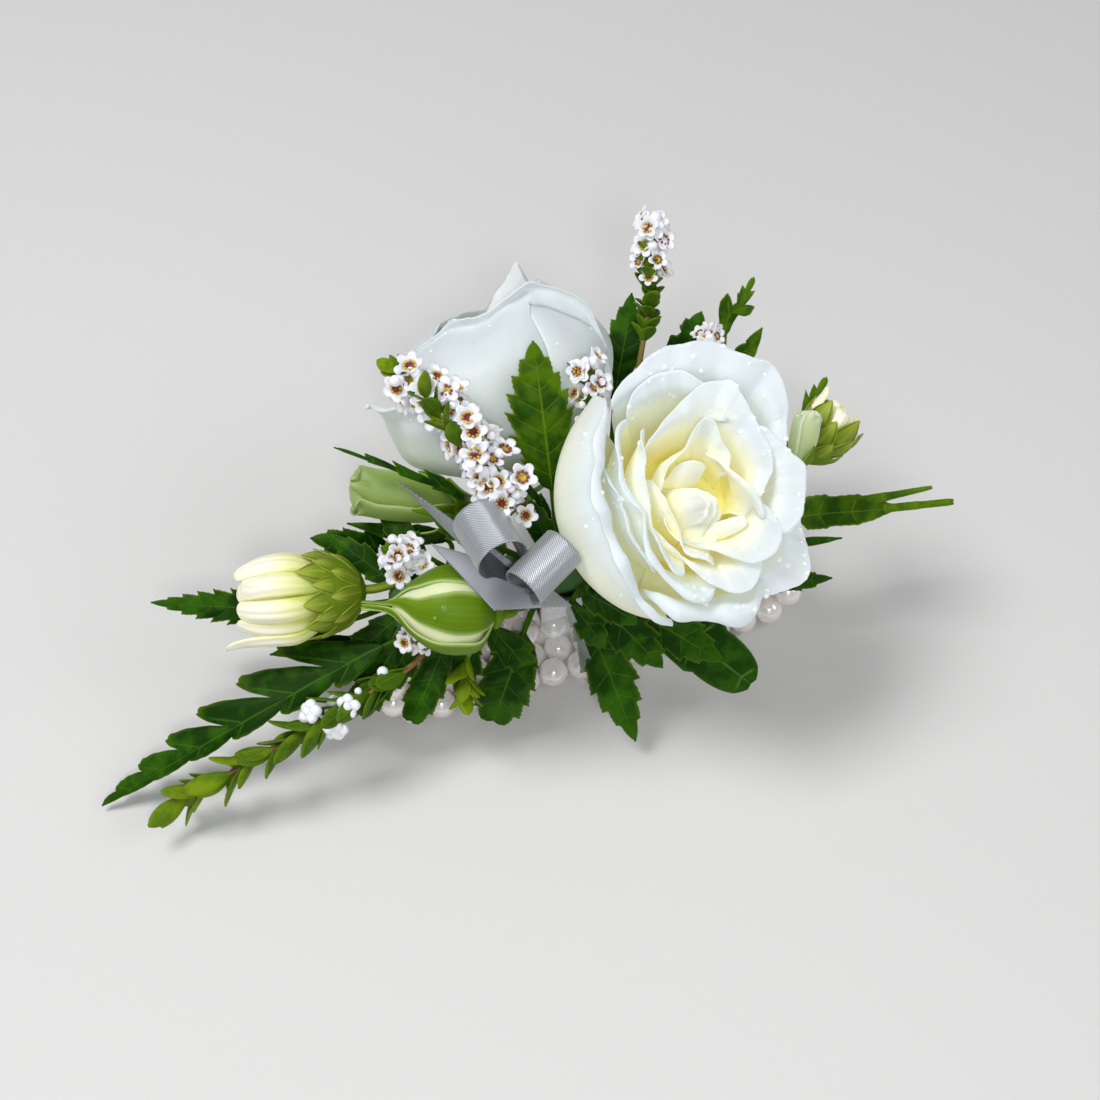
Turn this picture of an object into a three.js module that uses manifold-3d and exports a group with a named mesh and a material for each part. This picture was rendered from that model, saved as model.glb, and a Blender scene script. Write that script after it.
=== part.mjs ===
// Wrist corsage: two white roses, three buds, white heath-like sprays, cut leaves and a satin bow on a
// taped bundle of stems, which a metal clip holds to a stretch bracelet of pearls.
//
// Millimetres, +Z up. +X runs along the flattened bracelet, and the origin is on the flat underside of
// the pearl at the middle of the bracelet's lower run, where the corsage rests.
//
// The flowers are laid out in a working frame, tilted towards the wearer: "across" runs to the right,
// "up" runs up the face of the arrangement and "out" runs out of its face, towards whoever looks at it.
import * as THREE from 'three';
import { mergeVertices } from 'three/addons/utils/BufferGeometryUtils.js';
import Module from 'manifold-3d';

const wasm = await Module();
wasm.setup();

// ---------------------------------------------------------------- driving dimensions
const PEARL = 6; // pearl diameter, and the pitch along a strand
const PEARLS_PER_STRAND = 32;
const STRANDS = 3;
const STRAND_SPACING = 5.5;
const LOOP_RADIUS = 8; // of a strand's centre line at the bracelet's two ends
const ELASTIC = 0.8; // radius of the elastic between two pearls
const GAP = 0.3; // clearance between two pieces that rest on each other
const STEM_GAP = 0.5; // between the bundle and the middle of a stem's end, which meets it askew
const BLADE = 0.6; // thickness of leaves, petals and ribbon
const STALK = 0.5; // half the width of a leaf's stalk
const BUD_STEM = 0.95; // radius of the stem under a bud
const CLIP_LENGTH = 24;
const CLIP_WALL = 1;
const CLIP_HEIGHT = 4.6;
const BUNDLE_RADIUS = 5.5; // the taped bundle of stems
const BUNDLE_LENGTH = 80;
const FACE_TILT = 40; // degrees that the arrangement's face leans back from flat
const FACE_TURN = 19.3; // degrees between the bracelet and the arrangement's own across direction
const FACE_ORIGIN = [-5.5, 6.6, 27]; // the working frame's origin in the part's frame
const GOLDEN_ANGLE = THREE.MathUtils.degToRad(137.5);

const strandLength = PEARLS_PER_STRAND * PEARL;
const straightLength = (strandLength - 2 * Math.PI * LOOP_RADIUS) / 2;
const braceletTop = 2 * LOOP_RADIUS + PEARL;
const bundleHeight = braceletTop + GAP + CLIP_WALL + GAP + BUNDLE_RADIUS;

// ---------------------------------------------------------------- materials
const finish = (color, roughness, metalness = 0) =>
  new THREE.MeshStandardMaterial({ color, roughness, metalness });
const PEARL_FINISH = finish(0xe9e2dc, 0.25);
const STEEL_FINISH = finish(0xb8b8b8, 0.35, 1);
const TAPE_FINISH = finish(0x4f7a3a, 0.7);
const ROSE_FINISH = finish(0xf2f5e6, 0.6);
const LEAF_FINISH = finish(0x2c6a14, 0.55);
const FRESH_LEAF_FINISH = finish(0x5d8a12, 0.55);
const CALYX_FINISH = finish(0x5e9a1e, 0.5);
const BUD_FINISH = finish(0xf0f2c4, 0.6);
const PALE_BUD_FINISH = finish(0xa9c07a, 0.55);
const SPRAY_FINISH = finish(0xeef0f2, 0.65);
const RIBBON_FINISH = finish(0x9a9fa8, 0.35, 0.2);

// ---------------------------------------------------------------- small helpers
const point = (x, y, z) => new THREE.Vector3(x, y, z);
const unit = (x, y, z) => new THREE.Vector3(x, y, z).normalize();
const lerp = THREE.MathUtils.lerp;
const smooth = THREE.MathUtils.smoothstep;
const radians = THREE.MathUtils.degToRad;
const move = (from, direction, distance) => from.clone().addScaledVector(direction, distance);

// Seeded random numbers in [0, 1), so that every build is the same.
function randomFrom(seed) {
  let state = seed >>> 0;
  return () => {
    state = (state * 1664525 + 1013904223) >>> 0;
    return state / 4294967296;
  };
}

// A closed surface from points and triangles, turned to face outwards.
function closedSurface(points, triangles) {
  let volume = 0;
  for (const [a, b, c] of triangles) {
    volume += points[a].dot(points[b].clone().cross(points[c]));
  }
  const index = volume < 0 ? triangles.map(([a, b, c]) => [a, c, b]) : triangles;
  const geometry = new THREE.BufferGeometry().setFromPoints(points);
  geometry.setIndex(index.flat());
  return geometry;
}

// A thin sheet over a grid of points: both faces are split into triangles alike.
function sheet(rows, thickness = BLADE) {
  const m = rows.length;
  const n = rows[0].length;
  const thick = typeof thickness === 'function' ? thickness : () => thickness;
  const front = [];
  const back = [];
  for (let i = 0; i < m; i++) {
    for (let j = 0; j < n; j++) {
      const along = rows[Math.min(i + 1, m - 1)][j].clone().sub(rows[Math.max(i - 1, 0)][j]);
      const side = rows[i][Math.min(j + 1, n - 1)].clone().sub(rows[i][Math.max(j - 1, 0)]);
      const normal = side.cross(along).normalize();
      front.push(move(rows[i][j], normal, thick(i, j) / 2));
      back.push(move(rows[i][j], normal, -thick(i, j) / 2));
    }
  }
  const at = (i, j) => i * n + j;
  const under = m * n;
  const triangles = [];
  for (let i = 0; i < m - 1; i++) {
    for (let j = 0; j < n - 1; j++) {
      const [a, b, c, d] = [at(i, j), at(i, j + 1), at(i + 1, j + 1), at(i + 1, j)];
      triangles.push([a, b, c], [a, c, d]);
      triangles.push([under + a, under + c, under + b], [under + a, under + d, under + c]);
    }
  }
  const rim = (p, q) => triangles.push([q, p, under + p], [q, under + p, under + q]);
  for (let j = 0; j < n - 1; j++) {
    rim(at(0, j), at(0, j + 1));
    rim(at(m - 1, j + 1), at(m - 1, j));
  }
  for (let i = 0; i < m - 1; i++) {
    rim(at(i, n - 1), at(i + 1, n - 1));
    rim(at(i + 1, 0), at(i, 0));
  }
  return closedSurface([...front, ...back], triangles);
}

// A solid through rings of points. It closes on itself as a loop, or has a flat fan at each end.
function loft(rings, loop = false) {
  const sides = rings[0].length;
  const points = rings.flat();
  const triangles = [];
  const last = loop ? rings.length : rings.length - 1;
  for (let i = 0; i < last; i++) {
    const next = (i + 1) % rings.length;
    for (let j = 0; j < sides; j++) {
      const k = (j + 1) % sides;
      triangles.push([i * sides + j, i * sides + k, next * sides + k]);
      triangles.push([i * sides + j, next * sides + k, next * sides + j]);
    }
  }
  if (!loop) {
    const end = (rings.length - 1) * sides;
    for (let j = 1; j < sides - 1; j++) {
      triangles.push([0, j + 1, j], [end, end + j, end + j + 1]);
    }
  }
  return closedSurface(points, triangles);
}

// A round ring of points about a centre, across a direction.
function ring(centre, direction, radius, sides, phase = 0) {
  const reference = Math.abs(direction.y) < 0.9 ? point(0, 1, 0) : point(0, 0, 1);
  const a = reference.cross(direction).normalize();
  const b = direction.clone().cross(a).normalize();
  return Array.from({ length: sides }, (_, k) => {
    const angle = phase + (2 * Math.PI * k) / sides;
    return move(move(centre, a, radius * Math.cos(angle)), b, radius * Math.sin(angle));
  });
}

// A stem: a tube along points, from one radius to another.
function stem(points, startRadius, endRadius, sides = 4, steps = points.length * 2 - 2) {
  const path = new THREE.CatmullRomCurve3(points, false, 'catmullrom', 0.5);
  const rings = [];
  for (let i = 0; i <= steps; i++) {
    const t = i / steps;
    rings.push(ring(path.getPoint(t), path.getTangent(t), lerp(startRadius, endRadius, t), sides));
  }
  return loft(rings);
}

// A manifold solid of a closed geometry, and the geometry of a manifold solid.
function solidOf(geometry) {
  const bare = new THREE.BufferGeometry();
  bare.setAttribute('position', geometry.getAttribute('position'));
  bare.setIndex(geometry.getIndex());
  const merged = mergeVertices(bare, 1e-4);
  const vertProperties = merged.attributes.position.array;
  const triVerts = new Uint32Array(merged.index.array);
  return new wasm.Manifold(new wasm.Mesh({ numProp: 3, vertProperties, triVerts }));
}

function geometryOf(solid) {
  const mesh = solid.getMesh();
  const geometry = new THREE.BufferGeometry();
  geometry.setAttribute('position', new THREE.BufferAttribute(mesh.vertProperties, 3));
  geometry.setIndex(new THREE.BufferAttribute(mesh.triVerts, 1));
  return geometry;
}

// Several closed geometries fused into one.
function fuse(geometries) {
  return geometryOf(geometries.map(solidOf).reduce((whole, next) => whole.add(next)));
}

// A group's matrix that stands a flower on its base, along its axis. Azimuth 0 of the flower is then
// square to the reference direction.
function standing(base, axis, reference = point(0, 1, 0)) {
  const z = axis.clone().normalize();
  const x = reference.clone().cross(z).normalize();
  const y = z.clone().cross(x);
  return new THREE.Matrix4().makeBasis(x, y, z).setPosition(base);
}

// ---------------------------------------------------------------- the taped bundle of stems
const toFace = new THREE.Matrix4()
  .makeRotationFromEuler(new THREE.Euler(radians(FACE_TILT), 0, -radians(FACE_TURN), 'ZXY'))
  .setPosition(...FACE_ORIGIN)
  .invert();
const bundleCentre = point(0, 0, bundleHeight).applyMatrix4(toFace);
const bundleDirection = point(1, 0, 0).transformDirection(toFace);

// Where a stem that heads for a point leaves the bundle, in the working frame. The place along the
// bundle is counted from its middle.
function bundleEdge(along, towards) {
  const centre = move(bundleCentre, bundleDirection, along);
  const out = towards.clone().sub(centre);
  out.addScaledVector(bundleDirection, -out.dot(bundleDirection)).normalize();
  return move(centre, out, BUNDLE_RADIUS + STEM_GAP);
}

function tapedBundle() {
  const half = BUNDLE_LENGTH / 2;
  const bevel = 2;
  const profile = [
    [-half, BUNDLE_RADIUS - bevel], [bevel - half, BUNDLE_RADIUS],
    [half - bevel, BUNDLE_RADIUS], [half, BUNDLE_RADIUS - bevel],
  ];
  return loft(profile.map(([x, radius]) => ring(point(x, 0, bundleHeight), point(1, 0, 0), radius, 12)));
}

// The clip: a channel that grips the bundle, standing on the bracelet's upper run.
function clip() {
  const half = BUNDLE_RADIUS + GAP;
  const outer = half + CLIP_WALL;
  const floor = braceletTop + GAP;
  const profile = new THREE.Shape([
    new THREE.Vector2(-outer, floor),
    new THREE.Vector2(outer, floor),
    new THREE.Vector2(outer, floor + CLIP_HEIGHT),
    new THREE.Vector2(half, floor + CLIP_HEIGHT),
    new THREE.Vector2(half, floor + CLIP_WALL),
    new THREE.Vector2(-half, floor + CLIP_WALL),
    new THREE.Vector2(-half, floor + CLIP_HEIGHT),
    new THREE.Vector2(-outer, floor + CLIP_HEIGHT),
  ]);
  const channel = new THREE.ExtrudeGeometry(profile, { depth: CLIP_LENGTH, bevelEnabled: false });
  // The profile's x and y become the part's -y and z, and the extrusion runs along x.
  channel.applyMatrix4(
    new THREE.Matrix4().makeBasis(point(0, -1, 0), point(0, 0, 1), point(-1, 0, 0)),
  );
  channel.translate(CLIP_LENGTH / 2, 0, 0);
  channel.deleteAttribute('normal');
  channel.deleteAttribute('uv');
  return mergeVertices(channel, 1e-3);
}

// ---------------------------------------------------------------- the bracelet
// A point on a strand's centre line, counted along it from the middle of the lower run, with the
// direction that faces out of the loop. The line is two straight runs and two half circles.
function strandPoint(distance) {
  const s = ((distance % strandLength) + strandLength) % strandLength;
  const half = straightLength / 2;
  const bend = Math.PI * LOOP_RADIUS;
  const low = PEARL / 2;
  const high = low + 2 * LOOP_RADIUS;
  if (s <= half) return { at: point(s, 0, low), out: point(0, 0, -1) };
  if (s <= half + bend) {
    const angle = (s - half) / LOOP_RADIUS;
    const out = point(Math.sin(angle), 0, -Math.cos(angle));
    return { at: move(point(half, 0, low + LOOP_RADIUS), out, LOOP_RADIUS), out };
  }
  if (s <= half + bend + straightLength) {
    return { at: point(half - (s - half - bend), 0, high), out: point(0, 0, 1) };
  }
  if (s <= half + 2 * bend + straightLength) {
    const angle = Math.PI + (s - half - bend - straightLength) / LOOP_RADIUS;
    const out = point(Math.sin(angle), 0, -Math.cos(angle));
    return { at: move(point(-half, 0, low + LOOP_RADIUS), out, LOOP_RADIUS), out };
  }
  return { at: point(s - strandLength, 0, low), out: point(0, 0, -1) };
}

// One strand: pearls on their elastic. Each pearl is five-sided, with a flat that faces out of the loop,
// where the corsage stands on it, and narrows to the elastic between it and the next.
function pearlStrand(across, phase) {
  const rings = [];
  const sideways = point(0, 1, 0);
  const shoulder = 1.2;
  const section = (distance, halfWidth, flatHalf, height) => {
    const { at, out } = strandPoint(distance);
    const centre = move(at, sideways, across);
    const corner = (y, z) => move(move(centre, sideways, y), out, z);
    rings.push([
      corner(halfWidth, -0.1 * height),
      corner(flatHalf, height),
      corner(-flatHalf, height),
      corner(-halfWidth, -0.1 * height),
      corner(0, -height),
    ]);
  };
  for (let k = 0; k < PEARLS_PER_STRAND; k++) {
    const centre = (k + phase) * PEARL;
    section(centre - PEARL / 2, ELASTIC, ELASTIC / 2, ELASTIC);
    section(centre - shoulder, 2.7, 1.7, PEARL / 2);
    section(centre + shoulder, 2.7, 1.7, PEARL / 2);
  }
  return loft(rings, true);
}

// ---------------------------------------------------------------- leaves
// Half the width of a leaf, as a share of its widest, at a share of the way along its blade.
const leafShape = {
  ovate: (b) => Math.pow(Math.sin(Math.PI * Math.pow(0.04 + 0.96 * b, 0.72)), 0.8),
  lance: (b) => Math.pow(Math.sin(Math.PI * Math.pow(0.05 + 0.95 * b, 0.6)), 0.9),
  broad: (b) => Math.pow(Math.sin(Math.PI * (0.12 + 0.86 * b)), 0.5),
  taper: (b) => 1 - 0.75 * b,
  frond: (b) => Math.pow(1 - b, 0.75) * Math.min(1, 0.7 + 3 * b),
};

// The edge between two notches, as [share of the way, share of the tooth's depth that is cut away].
const EDGES = {
  toothed: [[0, 1], [0.72, 0]],
  fingers: [[0, 1], [0.3, 0.12], [0.78, 0]],
};

// The blade of a leaf on its stalk. Its teeth, or a frond's fingers, point forward by the sweep.
function leafBlade(leaf) {
  const {
    root, start, tip, half, face = unit(0, 0, 1), rightHalf = half, teeth = 5, depth = 0.25,
    rightDepth = depth, sweep = 35, arch = 1.5, fold = 0.1, shape = 'ovate', edges = 'toothed',
    crowding = 1,
  } = leaf;
  const middle = move(start.clone().lerp(tip, 0.5), face, arch);
  const blade = [start, middle, tip];
  const points = root === undefined ? blade : [bundleEdge(root, start), ...blade];
  const rib = new THREE.CatmullRomCurve3(points, false, 'catmullrom', 0.5);
  const stalkShare = root === undefined ? 0 : 1 / 3;
  const forward = radians(sweep);
  const rows = [];
  const station = (t, left, right) => {
    const at = rib.getPoint(t);
    const along = rib.getTangent(t);
    const side = face.clone().cross(along).normalize();
    const up = along.clone().cross(side);
    const edge = (width, sign) => {
      const out = move(at, side, sign * width * Math.cos(forward));
      return move(move(out, along, width * Math.sin(forward)), up, -width * fold);
    };
    rows.push([edge(left, 1), at, edge(right, -1)]);
  };
  if (stalkShare) station(0, STALK, STALK);
  for (let k = 0; k < teeth; k++) {
    for (const [place, cut] of EDGES[edges]) {
      const b = 1 - Math.pow(1 - (k + place) / teeth, crowding);
      const width = leafShape[shape](b);
      const left = Math.max(half * width * (1 - cut * depth), STALK);
      const right = Math.max(rightHalf * width * (1 - cut * rightDepth), STALK);
      station(lerp(stalkShare, 1, b), left, right);
    }
  }
  station(1, STALK / 2, STALK / 2);
  return sheet(rows, (i, j) => (j === 1 ? lerp(1.1, 0.7, i / (rows.length - 1)) : BLADE));
}

const LEAVES = {
  leaf_upright: {
    root: -6, start: point(0.4, 11.3, 22), tip: point(-3.1, 38.2, 33), half: 7.4, teeth: 6,
    face: unit(0.1, -0.3, 1), fresh: true,
  },
  frond_left: {
    root: -37, start: point(-31.8, -18.3, 15), tip: point(-87.4, -49.9, 9), half: 6.5, rightHalf: 19,
    teeth: 7, depth: 0.5, rightDepth: 0.8, sweep: 54, shape: 'frond', edges: 'fingers',
    crowding: 1.3, face: unit(-0.1, 0.2, 1), arch: 2,
  },
  leaf_far_left: {
    root: -39, start: point(-48.9, -12, 4), tip: point(-78, -10.3, 8), half: 3.6, teeth: 5,
    shape: 'lance', arch: 1,
  },
  leaf_back_left: {
    root: -36, start: point(-32, 0, 4), tip: point(-46.8, 2.3, 8), half: 4, teeth: 4,
  },
  leaf_below_left: {
    root: -38, start: point(-38, -17.6, 4), tip: point(-54.7, -20.5, 8), half: 2.6, teeth: 2,
    depth: 0.1,
  },
  frond_spiky: {
    root: -22, start: point(-16.3, 9, 18), tip: point(-40.4, 19.2, 24), half: 2.4, rightHalf: 6,
    teeth: 4, depth: 0.7, sweep: 62, shape: 'frond', face: unit(0.1, 0.5, 1),
  },
  leaf_blade_left: {
    root: -27, start: point(-20, 1.8, 9), tip: point(-39.8, 5.2, 6), half: 2.4, teeth: 3, depth: 0.15,
    shape: 'lance',
  },
  leaf_front_middle: {
    root: -13, start: point(-5, -16, 11.4), tip: point(-11.2, -33.7, 3), half: 7.2, teeth: 5,
    shape: 'broad', depth: 0.2, face: unit(0, -0.3, 1),
  },
  leaf_front_left: {
    root: -24, start: point(-19.5, -17.5, 12), tip: point(-27, -33, 11), half: 4.6, teeth: 4,
    shape: 'broad', depth: 0.2, face: unit(-0.1, -0.3, 1),
  },
  leaf_front_outer: {
    root: -32, start: point(-29.5, -18.8, 13), tip: point(-37.5, -31.5, 9), half: 5, teeth: 4,
    shape: 'broad', depth: 0.2, face: unit(-0.2, -0.3, 1),
  },
  leaf_front_right: {
    root: 2, start: point(6.8, -10.8, 11), tip: point(16.9, -37.7, 4), half: 6, teeth: 6,
    face: unit(0, -0.3, 1),
  },
  leaf_veined: {
    root: 17, start: point(20.5, -11, 6), tip: point(39.8, -26.5, 2), half: 6.8, teeth: 2,
    depth: 0.16, sweep: 20, shape: 'broad', face: unit(0, -0.2, 1),
  },
  leaf_right: {
    root: 34, start: point(42, -6, -1), tip: point(56.1, -5.6, 1), half: 2.8, teeth: 4,
    face: unit(0, -0.3, 1),
  },
  leaf_upper_right: {
    root: 24, start: point(25, 35.1, 3), tip: point(29.8, 46.8, 6), half: 4.4, teeth: 4, arch: 0.5,
  },
  frond_tip_right: {
    root: 30, start: point(34.6, 42.4, 3), tip: point(40, 51.9, 7), half: 3.4, teeth: 4, depth: 0.6,
    sweep: 50, shape: 'frond', arch: 0.5, fresh: true,
  },
  leaf_small_right: {
    root: 33, start: point(37, 36, 2), tip: point(41.7, 43.6, 6), half: 1.9, teeth: 2, depth: 0.1,
    arch: 0.5, fresh: true,
  },
  leaf_tiny_right: {
    root: 34, start: point(46, 1, -7), tip: point(58.8, 2.4, -4), half: 1.2, teeth: 1, arch: 0.5,
  },
  leaf_back: {
    root: 6, start: point(13, 29.7, -1), tip: point(16.2, 50.8, 3), half: 5.2, teeth: 6,
  },
  leaf_lobed_right: {
    root: 37, start: point(49, 24, -1), tip: point(52.6, 33, 2), half: 2.6, teeth: 3, depth: 0.6,
    sweep: 55, shape: 'frond', arch: 0.5, fresh: true,
  },
};

// The leaf at the far right, whose end is split into two long prongs.
function forkedLeaf() {
  const body = leafBlade({
    root: 38, start: point(50, 6.5, -4), tip: point(79.8, 9.5, 3), half: 4.6, rightHalf: 3, teeth: 5,
    depth: 0.12, sweep: 25, shape: 'taper', arch: 0.6,
  });
  const prong = leafBlade({
    start: point(60, 8.4, -2.2), tip: point(75.6, 11.8, 3), half: 0.9, teeth: 2, depth: 0.1,
    shape: 'taper', arch: 0.4, fold: 0,
  });
  return fuse([body, prong]);
}

// ---------------------------------------------------------------- roses
// One petal of a rose: a cup that widens to its belly and then opens, or closes, to its rim. The tip is
// a corner of the rim, which points outwards on an open petal and upwards on a closed one.
function rosePetal(petal, columns, steps) {
  const [azimuth, halfSpread, belly, rimRadius, height, tip, tipAt, foot] = petal;
  const outward = THREE.MathUtils.clamp((rimRadius - belly) / 3, 0, 1);
  const rows = [];
  for (let i = 0; i <= steps; i++) {
    const row = [];
    for (let j = 0; j <= columns; j++) {
      const s = (2 * j) / columns - 1;
      const t = (i / steps) * (1 - 0.2 * Math.pow(Math.abs(s), 3));
      const opening = Math.pow(Math.sin((Math.PI / 2) * Math.min(1, 1.1 * t)), 0.8);
      const rim = smooth(t, 0.55, 1);
      const corner = tip * Math.exp(-Math.pow((s - tipAt) / 0.4, 2)) * smooth(t, 0.7, 1);
      const r = belly * opening + (rimRadius - belly) * rim + corner * outward;
      const droop = 0.35 * Math.max(0, rimRadius - belly) * Math.pow(rim, 3);
      const z = foot + (height - foot) * Math.pow(t, 1.25) - droop + corner * (1 - outward);
      const angle = radians(azimuth + s * halfSpread * (0.75 + 0.25 * smooth(t, 0, 0.4)));
      row.push(point(r * Math.cos(angle), r * Math.sin(angle), z));
    }
    rows.push(row);
  }
  return sheet(rows);
}

// A bloom: its petals, from the outermost to the heart, on a small bowl that they all grow from.
function roseBloom(petals) {
  const blades = petals.map((petal) => {
    const rimRadius = petal[3];
    const foot = rimRadius > 15 ? 2 : 10;
    const [columns, steps] = rimRadius > 19.6 ? [4, 4] : rimRadius > 9 ? [3, 3] : [3, 2];
    return rosePetal([...petal, foot], columns, steps);
  });
  const bowl = [[2.2, 0], [5.2, 2.4], [7.4, 6.5], [6, 12], [2.2, 17]];
  const rings = bowl.map(([r, z]) => ring(point(0, 0, z), point(0, 0, 1), r, 7));
  return fuse([loft(rings), ...blades]);
}

// Petals as azimuth and half spread in degrees, belly radius, rim radius, height, the length of the
// corner and its place across the petal, from -1 to 1. Azimuth 0 of the front rose is to the right and
// 90 is up the face. Azimuth 0 of the back rose is to the left and 90 is out of the face.
const ROSE_FRONT = {
  base: point(20.6, 10.8, 9), axis: unit(0.14, 0.02, 0.99), reference: point(0, 1, 0), root: 14,
  turn: 0.3,
  petals: [
    [333, 40, 19.5, 24, 29, 4, 0],
    [275, 44, 20, 24.2, 30, 1.2, 0],
    [78, 66, 21.5, 25.4, 30, 2, -0.35],
    [200, 62, 23.4, 20.4, 33, 0, 0],
    [5, 46, 16.5, 20.5, 32, 1, 0.2],
    [286, 42, 15.5, 19, 32.5, 1, -0.2],
    [98, 48, 15.5, 19.8, 33, 1, 0.4],
    [232, 64, 15.5, 17, 34, 1, 0.7],
    [315, 52, 12.5, 16.2, 33, 1, -0.2],
    [55, 66, 12, 16, 34, 2, 0.1],
    [180, 52, 11.5, 13.4, 33.5, 0, 0],
    [95, 52, 9.5, 12.6, 34, 1, 0],
    [258, 56, 8.8, 10.4, 33, 0, 0],
    [22, 54, 7.8, 10, 33, 0, 0],
    [205, 78, 6, 7, 33, 0, 0],
    [0, 66, 5.5, 7.2, 32, 0.5, -0.3],
    [100, 56, 4.5, 6, 31.5, 0, 0],
    [180, 70, 2.8, 2.6, 30, 1, 0],
    [330, 45, 2.6, 5, 30, 0, 0],
  ],
};

const ROSE_BACK = {
  base: point(-11, 12, 5.5), axis: unit(-0.05, 0.99, 0.1), reference: point(0, 0, 1), root: -16,
  turn: 0.9,
  petals: [
    [20, 50, 19.5, 22.5, 17, 1.5, -0.3],
    [163, 50, 22.5, 22.5, 27, 1, 0],
    [97, 66, 19.5, 12.5, 31, 4, 0.7],
    [184, 62, 25.5, 12.5, 41, 0, 0],
    [330, 56, 18.5, 9, 33, 0, 0],
    [265, 60, 20, 13, 35, 0, 0],
    [146, 40, 10.5, 7, 40, 7.5, 0],
    [45, 52, 13, 8, 33, 0, 0],
    [175, 46, 13.5, 9, 36, 0, 0],
    [280, 60, 13, 9, 35, 0, 0],
    [60, 62, 8, 5, 33, 0, 0],
    [250, 80, 8, 5.5, 34, 0, 0],
  ],
};

// A rose's hip and stem, with five sepals turned back under the bloom.
function roseCalyx({ base, axis, reference, root, turn }) {
  const place = standing(base, axis, reference);
  const hip = [[1.2, -6.6], [2.9, -3.6], [2.2, -GAP]];
  const parts = [loft(hip.map(([r, z]) => ring(point(0, 0, z), point(0, 0, 1), r, 6)))];
  for (let k = 0; k < 5; k++) {
    const angle = (2 * Math.PI * k) / 5 + turn;
    const rows = [[1.2, -1.2, 1.1], [6.5, -1, 1.7], [13.5, 3.4, 0.35]];
    parts.push(sheet(rows.map(([r, z, half]) => [-1, 1].map((sign) => {
      const across = sign * half;
      const x = r * Math.cos(angle) - across * Math.sin(angle);
      const y = r * Math.sin(angle) + across * Math.cos(angle);
      return point(x, y, z);
    }))));
  }
  const whole = fuse(parts).applyMatrix4(place);
  const neck = point(0, 0, -5.5).applyMatrix4(place);
  const below = point(0, 0, -8).applyMatrix4(place);
  return fuse([whole, stem([neck, below, bundleEdge(root, below)], 1.3, 1.2, 5)]);
}

// ---------------------------------------------------------------- buds
// A round body along the local z axis, with a radius for each height and lobes around it.
function lobedBody(profile, sides, lobes = 0, depth = 0, twist = 0) {
  return loft(profile.map(([radius, z]) => Array.from({ length: sides }, (_, k) => {
    const angle = (2 * Math.PI * k) / sides;
    const r = radius * (1 + depth * Math.cos(lobes * angle + twist * z));
    return point(r * Math.cos(angle), r * Math.sin(angle), z);
  })));
}

// A petal or sepal that hugs a bud: rows of [radius, height, half width] at one azimuth.
function hugging(rows, azimuth, columns = 2, thickness = BLADE) {
  return sheet(rows.map(([radius, z, half]) => Array.from({ length: columns }, (_, j) => {
    const s = (2 * j) / (columns - 1) - 1;
    const angle = azimuth + (s * half) / Math.max(radius, half / 1.2);
    return point(radius * Math.cos(angle), radius * Math.sin(angle), z);
  })), thickness);
}

// A chrysanthemum bud: strap petals round a core, every second one a layer further out.
function daisyPetals({ radius, length, petals, seed }) {
  const random = randomFrom(seed);
  const core = [[0.42, 0.16], [0.78, 0.35], [0.86, 0.6], [0.66, 0.8], [0.25, 0.88]];
  const parts = [lobedBody(core.map(([r, z]) => [r * radius, z * length]), 8)];
  for (let k = 0; k < petals; k++) {
    const azimuth = (2 * Math.PI * k) / petals;
    const reach = length * (0.92 + 0.08 * random());
    const lift = k % 2 ? 0 : 0.9;
    const half = (1.15 * Math.PI * radius) / petals;
    const rows = [
      [0.72 * radius, 0.32 * length, half * 0.6],
      [0.97 * radius + lift, 0.6 * length, half],
      [0.8 * radius + lift, 0.84 * length, half * 0.9],
      [0.46 * radius + 2 * lift, reach, half * 0.4],
    ];
    parts.push(hugging(rows.filter((_, i) => i !== 2 || radius > 5), azimuth));
  }
  return fuse(parts);
}

// The green cup of bracts that a chrysanthemum bud opens from, with its rim cut into scales.
function bractCup({ radius, length, scales, wall = 0.7 }) {
  const sides = scales * 2;
  const outer = [[0.2, 0], [0.72, 0.08], [1, 0.22], [1.05, 0.38]];
  const inner = [[0.98, 0.3], [0.6, 0.13]];
  const cut = (share) => (share > 0.25 ? 0.12 * length : 0);
  const level = ([r, z], inside) => Array.from({ length: sides }, (_, k) => {
    const angle = (2 * Math.PI * k) / sides;
    const away = r * radius + (inside ? 0.3 : wall + 0.3);
    const height = z * length - (k % 2 ? 0 : cut(z));
    return point(away * Math.cos(angle), away * Math.sin(angle), height);
  });
  return loft([...outer.map((p) => level(p, false)), ...inner.map((p) => level(p, true))]);
}

// A bud's cup or hip on its own stem, which ends at the bundle.
function onStem(body, place, bud) {
  const neck = point(0, 0, 0.6).applyMatrix4(place);
  const below = point(0, 0, -2.5).applyMatrix4(place);
  const path = [neck, below, bundleEdge(bud.root, below)];
  return fuse([body.applyMatrix4(place), stem(path, BUD_STEM, BUD_STEM)]);
}

// Each bud's base, and the way it points; where its stem leaves the bundle; its radius and its length.
const DAISY_BUD = {
  base: point(-35.8, -7.6, 16), axis: unit(-0.99, -0.1, 0.03), root: -38.5, radius: 7.8, length: 25,
  petals: 10, scales: 9, seed: 7,
};
const DAISY_BUD_RIGHT = {
  base: point(49.6, 17.8, 8), axis: unit(0.62, 0.76, 0.1), root: 38, radius: 4.8, length: 13,
  petals: 8, scales: 7, seed: 9,
};
const ROSE_BUD = {
  base: point(-9.7, -11.6, 24), axis: unit(-0.99, 0.05, 0.1), root: -14, radius: 7.8, length: 20,
};
const PALE_BUD = {
  base: point(-17.5, 8.3, 12), axis: unit(-0.98, 0.16, 0.05), root: -20, radius: 4.7, length: 21,
  sepals: 5,
};
const PALE_BUD_RIGHT = {
  base: point(49.3, 15.6, 17.8), axis: unit(0.3, 0.95, 0), root: 34, radius: 2.6, length: 11,
  sepals: 3,
};

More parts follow.
